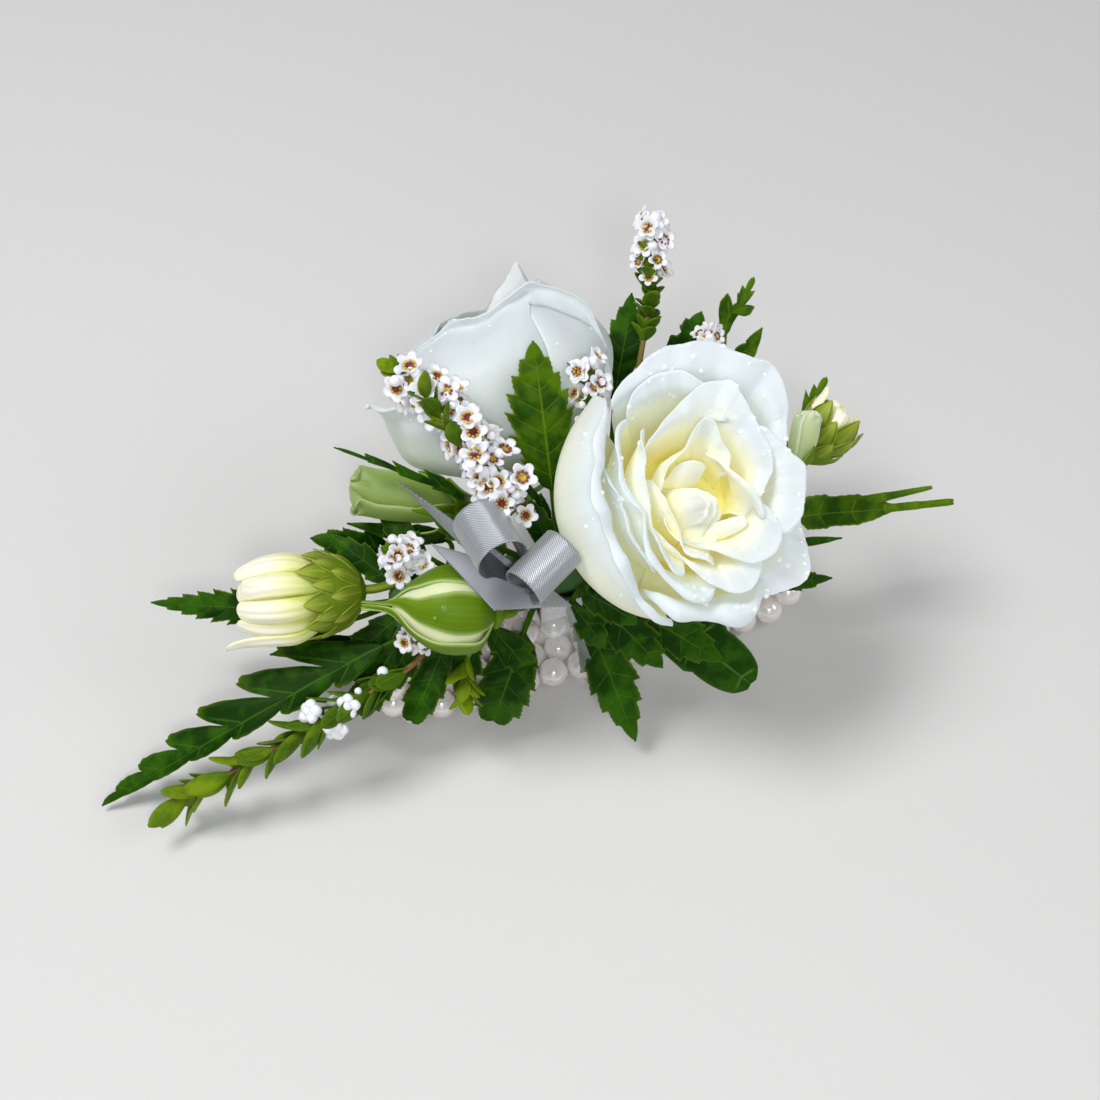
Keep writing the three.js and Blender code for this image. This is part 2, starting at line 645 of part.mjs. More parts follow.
// The green rose bud: furled cream petals, and five sepals that close over them to a twisted point.
function roseBudPetals({ radius, length }) {
  const profile = [[0.3, 0.08], [0.78, 0.2], [0.93, 0.4], [0.84, 0.58], [0.5, 0.76], [0.12, 0.9]];
  return lobedBody(profile.map(([r, z]) => [r * radius, z * length]), 10);
}

function roseBudSepals({ radius, length }) {
  const parts = [lobedBody([[1, -1], [3.2, 0.1], [2.6, 1.1]], 8)];
  const rows = [
    [2.2, 0.035, 0.2], [7.2, 0.16, 0.42], [8.5, 0.4, 0.5], [7.7, 0.6, 0.38], [4.9, 0.82, 0.2],
    [1.3, 1.02, 0.06], [0.8, 1.28, 0.04],
  ];
  for (let k = 0; k < 5; k++) {
    const azimuth = (2 * Math.PI * k) / 5 + 0.25;
    parts.push(hugging(rows.map(([r, z, half]) => [r, z * length, half * radius]), azimuth));
  }
  return fuse(parts);
}

// The pale buds: petals furled round each other, in a small cup of pointed sepals.
function furledPetals({ radius, length }) {
  const profile = [[0.35, 0.1], [0.7, 0.2], [0.95, 0.45], [1, 0.7], [0.86, 0.9], [0.45, 1]];
  return lobedBody(profile.map(([r, z]) => [r * radius, z * length]), 12, 3, 0.09, 0.14);
}

function smallSepals({ radius, length, sepals }) {
  const start = 0.2 * radius + 1.1;
  const parts = [lobedBody([[0.9, -1], [start + 0.4, 0], [start + 0.4, 0.06 * length]], 6)];
  const rows = [[start, 0.03, 0.18], [0.9 * radius + 1.1, 0.17, 0.24], [1.2 * radius + 1, 0.42, 0.05]];
  for (let k = 0; k < sepals; k++) {
    const azimuth = (2 * Math.PI * k) / sepals;
    parts.push(hugging(rows.map(([r, z, half]) => [r, z * length, half * radius]), azimuth));
  }
  return fuse(parts);
}

// ---------------------------------------------------------------- white sprays
// A small five-petalled flower: a cup from its foot on the stem to its lobed rim, hollowed in front.
function smallFlower(foot, centre, facing, radius) {
  const petals = 5;
  const rim = ring(centre, facing, 1, 2 * petals).map((p, k) => {
    const away = p.sub(centre);
    return move(move(centre, away, radius * (k % 2 ? 0.66 : 1)), facing, k % 2 ? -0.1 : 0.25);
  });
  const points = [foot, move(centre, facing, -0.55), ...rim];
  const triangles = [];
  for (let k = 0; k < 2 * petals; k++) {
    const a = 2 + k;
    const b = 2 + ((k + 1) % (2 * petals));
    triangles.push([0, b, a], [1, a, b]);
  }
  return closedSurface(points, triangles);
}

// A small pointed leaf, thickest along its middle.
function smallLeaf(foot, direction, face, length, half) {
  const side = face.clone().cross(direction).normalize();
  const up = direction.clone().cross(side).normalize();
  const middle = move(foot, direction, 0.55 * length);
  const points = [
    foot, move(middle, side, half), move(foot, direction, length), move(middle, side, -half),
    move(middle, up, 0.45), move(middle, up, -0.45),
  ];
  const triangles = [
    [0, 3, 4], [3, 2, 4], [2, 1, 4], [1, 0, 4],
    [3, 0, 5], [2, 3, 5], [1, 2, 5], [0, 1, 5],
  ];
  return closedSurface(points, triangles);
}

// A spray: a stem from the bundle, with flowers and small leaves set round it by a rule.
function spray({ root, path, flowers, leaves, seed }) {
  const random = randomFrom(seed);
  const points = [bundleEdge(root, path[0]), ...path];
  const line = new THREE.CatmullRomCurve3(points, false, 'catmullrom', 0.5);
  const parts = [stem(points, 0.8, 0.5, 4)];
  const outwards = (t, angle) => {
    const [a, b] = ring(point(0, 0, 0), line.getTangent(t), 1, 4);
    return move(a.multiplyScalar(Math.cos(angle)), b, Math.sin(angle));
  };
  for (let k = 0; flowers && k < flowers.count; k++) {
    const t = lerp(flowers.from, flowers.to, (k + 0.5) / flowers.count);
    const along = line.getTangent(t);
    const out = outwards(t, k * GOLDEN_ANGLE + 0.4 * random());
    const facing = point(0, 0, 0.5).addScaledVector(out, 0.8).addScaledVector(along, 0.35).normalize();
    const foot = line.getPoint(t);
    const centre = move(move(foot, out, flowers.reach * (0.85 + 0.3 * random())), along, 1);
    parts.push(smallFlower(foot, centre, facing, flowers.radius));
  }
  for (let k = 0; leaves && k < leaves.count; k++) {
    const t = lerp(leaves.from, leaves.to, (k + 0.5) / leaves.count);
    const along = line.getTangent(t);
    const out = outwards(t, k * (Math.PI / 2 + 0.35) + 0.4);
    const direction = along.clone().addScaledVector(out, leaves.lean).normalize();
    const length = leaves.length * (0.8 + 0.4 * random());
    parts.push(smallLeaf(line.getPoint(t), direction, along, length, leaves.half));
  }
  return fuse(parts);
}

const SPRAYS = {
  spray_main: {
    root: -8,
    path: [
      point(-3.4, 8.6, 25.5), point(-10.5, 15.5, 33.5), point(-18.3, 25.6, 34.5), point(-28.4, 32.7, 33),
    ],
    flowers: { count: 17, from: 0.38, to: 0.95, reach: 4, radius: 2.8 },
    leaves: { count: 6, from: 0.66, to: 1, length: 6, half: 1.3, lean: 0.6 }, seed: 3,
  },
  spray_top: {
    root: 8, path: [point(17, 33, 9), point(19, 46, 10.5), point(19.6, 57, 12), point(19.7, 64, 13)],
    flowers: { count: 6, from: 0.76, to: 1, reach: 2.6, radius: 2.7 },
    leaves: { count: 11, from: 0.36, to: 0.74, length: 4.6, half: 1.6, lean: 1.1 }, seed: 8,
  },
  spray_centre: {
    root: -2, path: [point(6.5, 16, 21), point(7.5, 28, 25), point(6, 35, 27)],
    flowers: { count: 5, from: 0.66, to: 1, reach: 2.8, radius: 2.6 },
    leaves: { count: 4, from: 0.5, to: 0.9, length: 4.5, half: 1.2, lean: 0.8 }, seed: 5,
  },
  spray_left: {
    root: -32, path: [point(-26.5, -3, 19), point(-30, -0.5, 22)],
    flowers: { count: 6, from: 0.4, to: 1, reach: 3.6, radius: 2.7 },
    leaves: { count: 2, from: 0.5, to: 0.9, length: 4, half: 1.1, lean: 0.8 }, seed: 11,
  },
  spray_low: {
    root: -33,
    path: [
      point(-26.6, -22.2, 16), point(-39, -30.1, 19), point(-54.9, -39.2, 19), point(-71, -48.4, 16),
    ],
    flowers: { count: 5, from: 0.46, to: 0.62, reach: 2.8, radius: 2 },
    leaves: { count: 17, from: 0.26, to: 1, length: 9, half: 2.1, lean: 0.7 }, seed: 21, green: true,
  },
  spray_under_bud: {
    root: -33, path: [point(-25.6, -14.3, 18), point(-25.8, -17.8, 18.6)],
    flowers: { count: 3, from: 0.7, to: 1, reach: 2.4, radius: 2.2 }, seed: 2,
  },
  spray_back_right: {
    root: 26, path: [point(29, 34, 8), point(31, 42.6, 9.5)],
    flowers: { count: 3, from: 0.85, to: 1, reach: 1.8, radius: 2 }, seed: 4,
  },
  shoot_front: {
    root: -19, path: [point(-15.6, -20, 13), point(-16.5, -28, 11)],
    leaves: { count: 8, from: 0.5, to: 1, length: 5.5, half: 1.4, lean: 0.9 }, seed: 6, green: true,
  },
};

// ---------------------------------------------------------------- the satin bow
const RIBBON_WIDTH = 11;
const GATHERED = 1.7; // half the ribbon's width where it is drawn in at the knot
const BOW_KNOT = point(-3, -6.5, 28);
const BOW_LOOPS = [
  { centre: point(-11, 2, 35.5), radius: 4.8, along: unit(-0.44, 0.7, -0.56) },
  { centre: point(-1.2, -3.2, 36.5), radius: 4.1, along: unit(0.67, 0.68, -0.3) },
];
// Each tail runs from the knot to its cut end, given by the two corners of the cut.
const BOW_TAILS = [
  [point(-21.8, 1.1, 33), point(-10.3, -11, 35)],
  [point(-28, 12.6, 33.5), point(-26.5, 11, 26)],
];

// One loop: ribbon from the knot round a circle and back to the knot.
function bowLoop({ centre, radius, along }) {
  const toKnot = BOW_KNOT.clone().sub(centre);
  toKnot.addScaledVector(along, -toKnot.dot(along)).normalize();
  const aside = along.clone().cross(toKnot);
  const steps = 8;
  const opening = 0.7;
  const across = (middle, half) => [move(middle, along, -half), move(middle, along, half)];
  const rows = [across(move(BOW_KNOT, aside, 0.4), GATHERED)];
  for (let i = 0; i <= steps; i++) {
    const angle = lerp(opening, 2 * Math.PI - opening, i / steps);
    const out = move(toKnot.clone().multiplyScalar(Math.cos(angle)), aside, Math.sin(angle));
    rows.push(across(move(centre, out, radius), RIBBON_WIDTH / 2));
  }
  rows.push(across(move(BOW_KNOT, aside, -0.4), GATHERED));
  return sheet(rows);
}

function bowTail([left, right]) {
  const across = right.clone().sub(left).normalize();
  const start = [move(BOW_KNOT, across, -GATHERED), move(BOW_KNOT, across, GATHERED)];
  const sag = point(0, 0, -0.6);
  const middle = [left, right].map((end, j) => start[j].clone().lerp(end, 0.5).add(sag));
  return sheet([start, middle, [left, right]]);
}

// The bow on the neck of ribbon that ties it down to the bundle.
function bow() {
  const foot = bundleEdge(-10, BOW_KNOT);
  const up = BOW_KNOT.clone().sub(foot).normalize();
  const neck = loft([
    ring(foot, up, 1.2, 6),
    ring(BOW_KNOT.clone().lerp(foot, 0.3), up, 1.6, 6),
    ring(BOW_KNOT, up, 3.2, 6),
    ring(move(BOW_KNOT, up, 2.4), up, 2.4, 6),
  ]);
  return fuse([neck, ...BOW_LOOPS.map(bowLoop), ...BOW_TAILS.map(bowTail)]);
}

// ---------------------------------------------------------------- assembly
const corsage = new THREE.Group();
const arrangement = new THREE.Group();
arrangement.rotation.set(radians(FACE_TILT), 0, -radians(FACE_TURN), 'ZXY');
arrangement.position.set(...FACE_ORIGIN);
corsage.add(arrangement);

function add(group, name, geometry, material) {
  const mesh = new THREE.Mesh(geometry, material);
  mesh.name = name;
  group.add(mesh);
}

for (let k = 0; k < STRANDS; k++) {
  const middle = (STRANDS - 1) / 2;
  const across = (k - middle) * STRAND_SPACING;
  add(corsage, `pearl_strand_${k + 1}`, pearlStrand(across, k === middle ? 0 : 0.5), PEARL_FINISH);
}
add(corsage, 'clip', clip(), STEEL_FINISH);
add(corsage, 'taped_bundle', tapedBundle(), TAPE_FINISH);

for (const [name, rose] of Object.entries({ rose_front: ROSE_FRONT, rose_back: ROSE_BACK })) {
  const place = standing(rose.base, rose.axis, rose.reference);
  add(arrangement, `${name}_bloom`, roseBloom(rose.petals).applyMatrix4(place), ROSE_FINISH);
  add(arrangement, `${name}_calyx`, roseCalyx(rose), CALYX_FINISH);
}

for (const [name, leaf] of Object.entries(LEAVES)) {
  add(arrangement, name, leafBlade(leaf), leaf.fresh ? FRESH_LEAF_FINISH : LEAF_FINISH);
}
add(arrangement, 'leaf_forked', forkedLeaf(), LEAF_FINISH);

// A bud is two nodes: its petals, and the green of its cup or sepals with its stem.
function addBud(name, bud, [petals, material], [greenName, green]) {
  const place = standing(bud.base, bud.axis, point(0, 0, 1));
  add(arrangement, `${name}_petals`, petals(bud).applyMatrix4(place), material);
  add(arrangement, `${name}_${greenName}`, onStem(green(bud), place, bud), CALYX_FINISH);
}
addBud('daisy_bud', DAISY_BUD, [daisyPetals, BUD_FINISH], ['bracts', bractCup]);
addBud('daisy_bud_right', DAISY_BUD_RIGHT, [daisyPetals, BUD_FINISH], ['bracts', bractCup]);
addBud('rose_bud', ROSE_BUD, [roseBudPetals, BUD_FINISH], ['sepals', roseBudSepals]);
addBud('pale_bud', PALE_BUD, [furledPetals, PALE_BUD_FINISH], ['sepals', smallSepals]);
addBud('pale_bud_right', PALE_BUD_RIGHT, [furledPetals, PALE_BUD_FINISH], ['sepals', smallSepals]);

for (const [name, recipe] of Object.entries(SPRAYS)) {
  add(arrangement, name, spray(recipe), recipe.green ? FRESH_LEAF_FINISH : SPRAY_FINISH);
}
add(arrangement, 'ribbon_bow', bow(), RIBBON_FINISH);

export default corsage;
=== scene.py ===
"""Wrist corsage: two white roses, buds, white sprays, cut leaves and a satin bow on a pearl bracelet.

Sizes are in millimetres. The flowers are laid out in a working frame, as in the part's source: "across"
runs to the right, "up" runs up the face of the arrangement and "out" runs out of the face. The bracelet,
the clip and the bundle are laid out in the part's own frame, where z is up.
"""
import logging
import math
from collections.abc import Callable, Sequence
from dataclasses import dataclass, field
from enum import Enum

import bpy
import numpy as np
import numpy.typing as npt
from mathutils import Matrix


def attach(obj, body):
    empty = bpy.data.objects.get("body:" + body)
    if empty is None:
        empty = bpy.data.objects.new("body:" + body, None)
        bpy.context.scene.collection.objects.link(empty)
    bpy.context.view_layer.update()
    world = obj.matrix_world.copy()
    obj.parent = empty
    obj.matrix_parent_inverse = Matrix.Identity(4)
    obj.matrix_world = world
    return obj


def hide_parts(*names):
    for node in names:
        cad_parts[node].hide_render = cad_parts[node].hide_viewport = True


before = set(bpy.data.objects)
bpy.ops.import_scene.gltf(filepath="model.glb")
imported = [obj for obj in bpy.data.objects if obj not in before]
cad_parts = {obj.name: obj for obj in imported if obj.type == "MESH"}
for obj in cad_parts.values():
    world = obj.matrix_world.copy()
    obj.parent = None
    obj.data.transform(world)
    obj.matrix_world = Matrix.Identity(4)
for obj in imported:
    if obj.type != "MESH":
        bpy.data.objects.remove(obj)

Array = npt.NDArray[np.float64]
Faces = npt.NDArray[np.int64]
Triple = tuple[float, float, float]
Socket = bpy.types.NodeSocket

log = logging.getLogger("corsage")
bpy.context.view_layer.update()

MM = 0.001
BODY = "root"
FACE_TILT = 40.0
FACE_TURN = 19.3
FACE_ORIGIN = np.array([-5.5, 6.6, 27.0])
CAMERA_DISTANCE = 400.0
CAMERA_LENS = 65.45
CAMERA_SENSOR = 36.0

PEARL = 6.0
PEARLS_PER_STRAND = 32
STRANDS = 3
STRAND_SPACING = 5.5
LOOP_RADIUS = 8.0
PEARL_SHRINK = 0.985
GAP = 0.3
STEM_GAP = 0.5
CLIP_WALL = 1.0
BUNDLE_RADIUS = 5.5
BUNDLE_LENGTH = 80.0
BUNDLE_HEIGHT = 2 * LOOP_RADIUS + PEARL + GAP + CLIP_WALL + GAP + BUNDLE_RADIUS
GOLDEN_ANGLE = math.radians(137.5)
STALK = 0.5


# ------------------------------------------------------------------ small helpers on numpy arrays
def vec(*values: float) -> Array:
    """A point or a direction as an array."""
    return np.array(values, dtype=float)


def unit(vectors: Array | Sequence[float]) -> Array:
    """Vectors of length one, along the last axis."""
    v = np.asarray(vectors, dtype=float)
    return v / np.maximum(np.linalg.norm(v, axis=-1, keepdims=True), 1e-12)


def smooth(x: Array | float, low: float, high: float) -> Array:
    """Smoothstep: 0 up to low, 1 from high, and 3t^2 - 2t^3 between them."""
    t = np.clip((np.asarray(x, dtype=float) - low) / (high - low), 0.0, 1.0)
    return t * t * (3.0 - 2.0 * t)


def lerp(a: Array | float, b: Array | float, t: Array | float) -> Array:
    """The straight blend from a to b."""
    return np.asarray(a) + (np.asarray(b) - np.asarray(a)) * t


def face_matrix() -> Array:
    """The turn from the working frame to the part's frame: a tilt about x, then a turn about z."""
    angles = (math.radians(FACE_TILT), -math.radians(FACE_TURN))
    (tilt_cos, tilt_sin), (turn_cos, turn_sin) = ((math.cos(angle), math.sin(angle)) for angle in angles)
    about_x = np.array([[1, 0, 0], [0, tilt_cos, -tilt_sin], [0, tilt_sin, tilt_cos]])
    about_z = np.array([[turn_cos, -turn_sin, 0], [turn_sin, turn_cos, 0], [0, 0, 1]])
    return about_z @ about_x


FACE = face_matrix()


def to_part(points: Array) -> Array:
    """Points of the working frame in the part's frame."""
    return points @ FACE.T + FACE_ORIGIN


def to_face(points: Array) -> Array:
    """Points of the part's frame in the working frame."""
    return (points - FACE_ORIGIN) @ FACE


def columns_spline(controls: Array, t: Array) -> Array:
    """Smooth curves through many columns of control values at once.

    Each is the uniform Catmull-Rom curve: a cubic between each two values, with half the difference of
    their neighbours as slopes. Past each end the line goes on straight.

    Args:
        controls: control values, one row to a control and one column to a curve.
        t: shares of the way, from 0 to 1, one row to a step and one column to a curve.

    Returns:
        The curves' values, in the shape of t.
    """
    c = controls
    padded = np.vstack([2 * c[:1] - c[1:2], c, 2 * c[-1:] - c[-2:-1]])
    place = np.clip(t, 0.0, 1.0) * (len(c) - 1)
    k = np.minimum(place.astype(int), len(c) - 2)
    w = place - k
    p0, p1, p2, p3 = (np.take_along_axis(padded, k + i, axis=0) for i in range(4))
    slope_1, slope_2 = (p2 - p0) / 2, (p3 - p1) / 2
    cubic = (2 * p1 - 2 * p2 + slope_1 + slope_2) * w**3
    return cubic + (-3 * p1 + 3 * p2 - 2 * slope_1 - slope_2) * w**2 + slope_1 * w + p1


def spline(points: Array | Sequence[Sequence[float]], t: Array) -> Array:
    """The same curve through control points of any dimension, one to a row, with a row for each share."""
    p = np.asarray(points, dtype=float)
    return columns_spline(p, np.repeat(t[:, None], p.shape[1], axis=1))


def headings(points: Array | Sequence[Sequence[float]], t: Array) -> Array:
    """The directions of the same curve, from two close points on it."""
    step = 1e-4
    return unit(spline(points, np.minimum(t + step, 1.0)) - spline(points, np.maximum(t - step, 0.0)))


def ring_axes(direction: Array) -> tuple[Array, Array]:
    """Two directions square to one direction, and to each other."""
    reference = vec(0, 1, 0) if abs(direction[1]) < 0.9 else vec(0, 0, 1)
    a = unit(np.cross(reference, direction))
    return a, unit(np.cross(direction, a))


def stack(*values: Array | float) -> Array:
    """Numbers and arrays spread over one grid and set side by side on its last axis."""
    return np.stack(np.broadcast_arrays(*values), axis=-1)


def circle(count: int) -> Array:
    """Even angles round a full turn."""
    return np.linspace(0, math.tau, count, endpoint=False)


def polar(radius: Array | float, angle: Array | float, height: Array | float) -> Array:
    """Points by radius, angle in radians, and height."""
    return stack(radius * np.cos(angle), radius * np.sin(angle), height)


class Draw:
    """Seeded random numbers from 0 to 1: each is the last times a constant, plus another, modulo 2^32."""

    def __init__(self, seed: int) -> None:
        """Start from a seed."""
        self.state = seed

    def __call__(self) -> float:
        """The next number."""
        self.state = (self.state * 1664525 + 1013904223) % 2**32
        return self.state / 2**32


@dataclass(frozen=True)
class Place:
    """Where a flower stands: its base and its own three axes, one to a row."""

    base: Array
    axes: Array

    def apply(self, points: Array) -> Array:
        """Points of the flower in the working frame."""
        return points @ self.axes + self.base


def standing(base: Triple, axis: Triple, reference: Triple = (0, 1, 0)) -> Place:
    """The place of a flower on its base along its axis, with azimuth 0 square to the reference."""
    z = unit(axis)
    x = unit(np.cross(np.asarray(reference, dtype=float), z))
    return Place(vec(*base), np.stack([x, np.cross(z, x), z]))


def bundle_edge(along: float, towards: Array) -> Array:
    """Where a stem that heads for a point leaves the bundle, in the working frame.

    Args:
        along: the place along the bundle, from its middle.
        towards: the point that the stem heads for.

    Returns:
        The point just off the bundle's side.
    """
    direction = vec(1, 0, 0) @ FACE
    centre = to_face(vec(0, 0, BUNDLE_HEIGHT)) + direction * along
    out = towards - centre
    out = unit(out - direction * (out @ direction))
    return centre + out * (BUNDLE_RADIUS + STEM_GAP)


# ------------------------------------------------------------------ shapes
def grid_faces(rows: int, columns: int, wrap_rows: bool = False, wrap_columns: bool = False) -> Faces:
    """The four-sided faces of a grid of points.

    Args:
        rows: number of rows of points.
        columns: number of points in a row.
        wrap_rows: the last row joins the first.
        wrap_columns: the last column joins the first.

    Returns:
        Four point numbers to a face.
    """
    i = np.arange(rows if wrap_rows else rows - 1)[:, None]
    j = np.arange(columns if wrap_columns else columns - 1)[None, :]
    i_next, j_next = (i + 1) % rows, (j + 1) % columns
    corners = [i * columns + j, i * columns + j_next, i_next * columns + j_next, i_next * columns + j]
    return np.stack([np.broadcast_to(c, (i.size, j.size)) for c in corners], axis=-1).reshape(-1, 4)


NO_PATTERN = vec(0, 0, 0.5)
NO_TINT = vec(0, 0, 0)


class Shape:
    """Closed surfaces gathered into one piece, with two colour guides on every point.

    The guide "pattern" holds the place across and along a blade and one random number. The guide "tint"
    holds warmth, greenness and the side: 1 on a sheet's back. Leaves take their paler underside from the
    side, and the ribbon paints shade on its front side by it.
    """

    def __init__(self) -> None:
        """Start empty."""
        self.points: list[Array] = []
        self.patterns: list[Array] = []
        self.tints: list[Array] = []
        self.faces: list[Faces] = []
        self.count = 0

    def add(self, points: Array, faces: Faces, pattern: Array, tint: Array) -> None:
        """Take one closed surface, and turn it so that it faces outwards.

        Args:
            points: its points.
            faces: four point numbers to a face, with -1 as the fourth of a triangle.
            pattern: the pattern guide, one row to a point.
            tint: the tint guide, one row to a point.
        """
        last = np.where(faces[:, 3] < 0, faces[:, 0], faces[:, 3])
        a, b, c, d = (points[k] for k in (faces[:, 0], faces[:, 1], faces[:, 2], last))
        volume = np.einsum("ij,ij->", a, np.cross(b, c)) + np.einsum("ij,ij->", a, np.cross(c, d))
        if volume < 0:
            turned = faces[:, [2, 1, 0, 3]]
            faces = np.where((faces[:, 3] < 0)[:, None], turned, faces[:, [3, 2, 1, 0]])
        self.faces.append(np.where(faces < 0, -1, faces + self.count))
        self.points.append(points)
        self.patterns.append(np.broadcast_to(pattern, points.shape))
        self.tints.append(np.broadcast_to(tint, points.shape))
        self.count += len(points)

    def sheet(self, grid: Array, thickness: Array | float, pattern: Array, tint: Array) -> None:
        """Take a thin closed sheet over a grid of points, with a round edge.

        Both faces stand half the thickness off the grid, along its normals, and a line of points that
        stands out by the same amount joins them round the edge.

        Args:
            grid: rows and columns of points.
            thickness: the sheet's thickness, one number or one for each point.
            pattern: the pattern guide for the grid.
            tint: the tint guide for the grid. The back gets a side mark of 1.
        """
        m, n = grid.shape[:2]
        normal = unit(np.cross(np.gradient(grid, axis=1), np.gradient(grid, axis=0)))
        half = np.broadcast_to(np.asarray(thickness) / 2, (m, n))[..., None]
        pattern, tint = np.broadcast_to(pattern, grid.shape), np.broadcast_to(tint, grid.shape)
        i, j = np.arange(m - 1), np.arange(n - 1)
        rim = (
            np.concatenate([0 * j, i, 0 * j + m - 1, m - 1 - i]),
            np.concatenate([j, 0 * i + n - 1, n - 1 - j, 0 * i]),
        )
        inside = (np.clip(rim[0], 1, m - 2), np.clip(rim[1], 1, n - 2))
        edge = grid[rim] + unit(grid[rim] - grid[inside]) * half[rim]
        front, back = (grid + sign * normal * half for sign in (1, -1))
        faces = grid_faces(m, n)
        size, k = m * n, np.arange(len(edge))
        k_next, on_grid = (k + 1) % len(edge), rim[0] * n + rim[1]
        over = np.stack([on_grid[k_next], on_grid, 2 * size + k, 2 * size + k_next], axis=-1)
        under = np.stack([2 * size + k_next, 2 * size + k, size + on_grid, size + on_grid[k_next]], axis=-1)
        behind = tint * vec(1, 1, 0) + vec(0, 0, 1)
        self.add(
            np.concatenate([front.reshape(-1, 3), back.reshape(-1, 3), edge]),
            np.concatenate([faces, size + faces[:, ::-1], over, under]),
            np.concatenate([pattern.reshape(-1, 3), pattern.reshape(-1, 3), pattern[rim]]),
            np.concatenate([tint.reshape(-1, 3), behind.reshape(-1, 3), tint[rim]]),
        )

    def rings(
        self, rings: Array, ends: tuple[Array, Array] | None = None, pattern: Array = NO_PATTERN,
        tint: Array = NO_TINT,
    ) -> None:
        """Take a body through rings of points, closed by a point at each end.

        Args:
            rings: rings and points round each.
            ends: the two end points. The middles of the end rings are used without them.
            pattern: the pattern guide for the rings.
            tint: the tint guide for the rings.
        """
        m, n = rings.shape[:2]
        first, last = ends if ends is not None else (rings[0].mean(axis=0), rings[-1].mean(axis=0))
        k = np.arange(n)
        k_next, blank = (k + 1) % n, np.full(n, -1)
        start = np.stack([k_next, k, np.full(n, m * n), blank], axis=-1)
        close = np.stack([(m - 1) * n + k, (m - 1) * n + k_next, np.full(n, m * n + 1), blank], axis=-1)
        pattern, tint = np.broadcast_to(pattern, rings.shape), np.broadcast_to(tint, rings.shape)
        self.add(
            np.concatenate([rings.reshape(-1, 3), first[None], last[None]]),
            np.concatenate([grid_faces(m, n, wrap_columns=True), start, close]),
            np.concatenate([pattern.reshape(-1, 3), pattern[0, :1], pattern[-1, :1]]),
            np.concatenate([tint.reshape(-1, 3), tint[0, :1], tint[-1, :1]]),
        )

    def tube(self, path: Array, radius: Array | float, sides: int = 8, tint: Triple = (0, 0, 0)) -> None:
        """Take a round tube along a path, with rounded ends.

        Args:
            path: points along the middle.
            radius: the radius, one number or one for each point.
            sides: points round the tube.
            tint: its tint guide.
        """
        along = unit(np.gradient(path, axis=0))
        mean = unit(along.mean(axis=0))
        reference = vec(0, 1, 0) if abs(mean[1]) < 0.8 else vec(0, 0, 1)
        a = unit(np.cross(reference, along))
        b = np.cross(along, a)
        angle = circle(sides)[None, :, None]
        reach = np.broadcast_to(np.asarray(radius, dtype=float), (len(path),))[:, None, None]
        rings = path[:, None] + reach * (np.cos(angle) * a[:, None] + np.sin(angle) * b[:, None])
        ends = (path[0] - along[0] * reach[0, 0] * 0.5, path[-1] + along[-1] * reach[-1, 0] * 0.5)
        share = np.linspace(0, 1, len(path))[:, None]
        pattern = stack(angle[..., 0] / math.pi - 1, share, 0.5)
        self.rings(rings, ends, pattern, vec(*tint))

    def lathe(
        self, profile: Sequence[tuple[float, float]], place: Place, sides: int, steps: int,
        shape: Callable[[Array, Array], Array] | None = None, tint: Triple = (0, 0, 0),
    ) -> None:
        """Take a body of revolution: a smooth profile carried round an axis.

        Args:
            profile: radius and height, from the bottom to the top.
            place: where the body stands.
            sides: points round it.
            steps: rings along the profile.
            shape: a factor on the radius, by height and angle.
            tint: its tint guide.
        """
        t = np.linspace(0, 1, steps)
        outline = spline(profile, t)
        angle = circle(sides)[None]
        radius, height = np.maximum(outline[:, :1], 0.02), outline[:, 1:]
        if shape is not None:
            radius = radius * shape(height, angle)
        rings = place.apply(polar(radius, angle, height))
        ends = (place.apply(vec(0, 0, outline[0, 1])), place.apply(vec(0, 0, outline[-1, 1])))
        pattern = stack(angle / math.pi - 1, t[:, None], 0.5)
        self.rings(rings, ends, pattern, vec(*tint))

    def mesh(self, name: str, frame_is_face: bool) -> bpy.types.Mesh:
        """The Blender mesh of everything gathered, in metres and in the part's frame.

        Args:
            name: the mesh's name.
            frame_is_face: the points are in the working frame.

        Returns:
            The mesh, smooth, with both guides as attributes.
        """
        points = np.concatenate(self.points)
        points = (to_part(points) if frame_is_face else points) * MM
        faces = np.concatenate(self.faces)
        used = faces >= 0
        totals = used.sum(axis=1)
        mesh = bpy.data.meshes.new(name)
        mesh.vertices.add(len(points))
        mesh.vertices.foreach_set("co", points.astype(np.float32).ravel())
        mesh.loops.add(int(totals.sum()))
        mesh.loops.foreach_set("vertex_index", faces[used].astype(np.int32))
        mesh.polygons.add(len(faces))
        mesh.polygons.foreach_set("loop_start", (np.cumsum(totals) - totals).astype(np.int32))
        mesh.polygons.foreach_set("use_smooth", np.ones(len(faces), dtype=bool))
        for guide, values in (("pattern", self.patterns), ("tint", self.tints)):
            attribute = mesh.attributes.new(guide, "FLOAT_VECTOR", "POINT")
            attribute.data.foreach_set("vector", np.concatenate(values).astype(np.float32).ravel())
        mesh.update(calc_edges=True)
        mesh.validate()
        return mesh


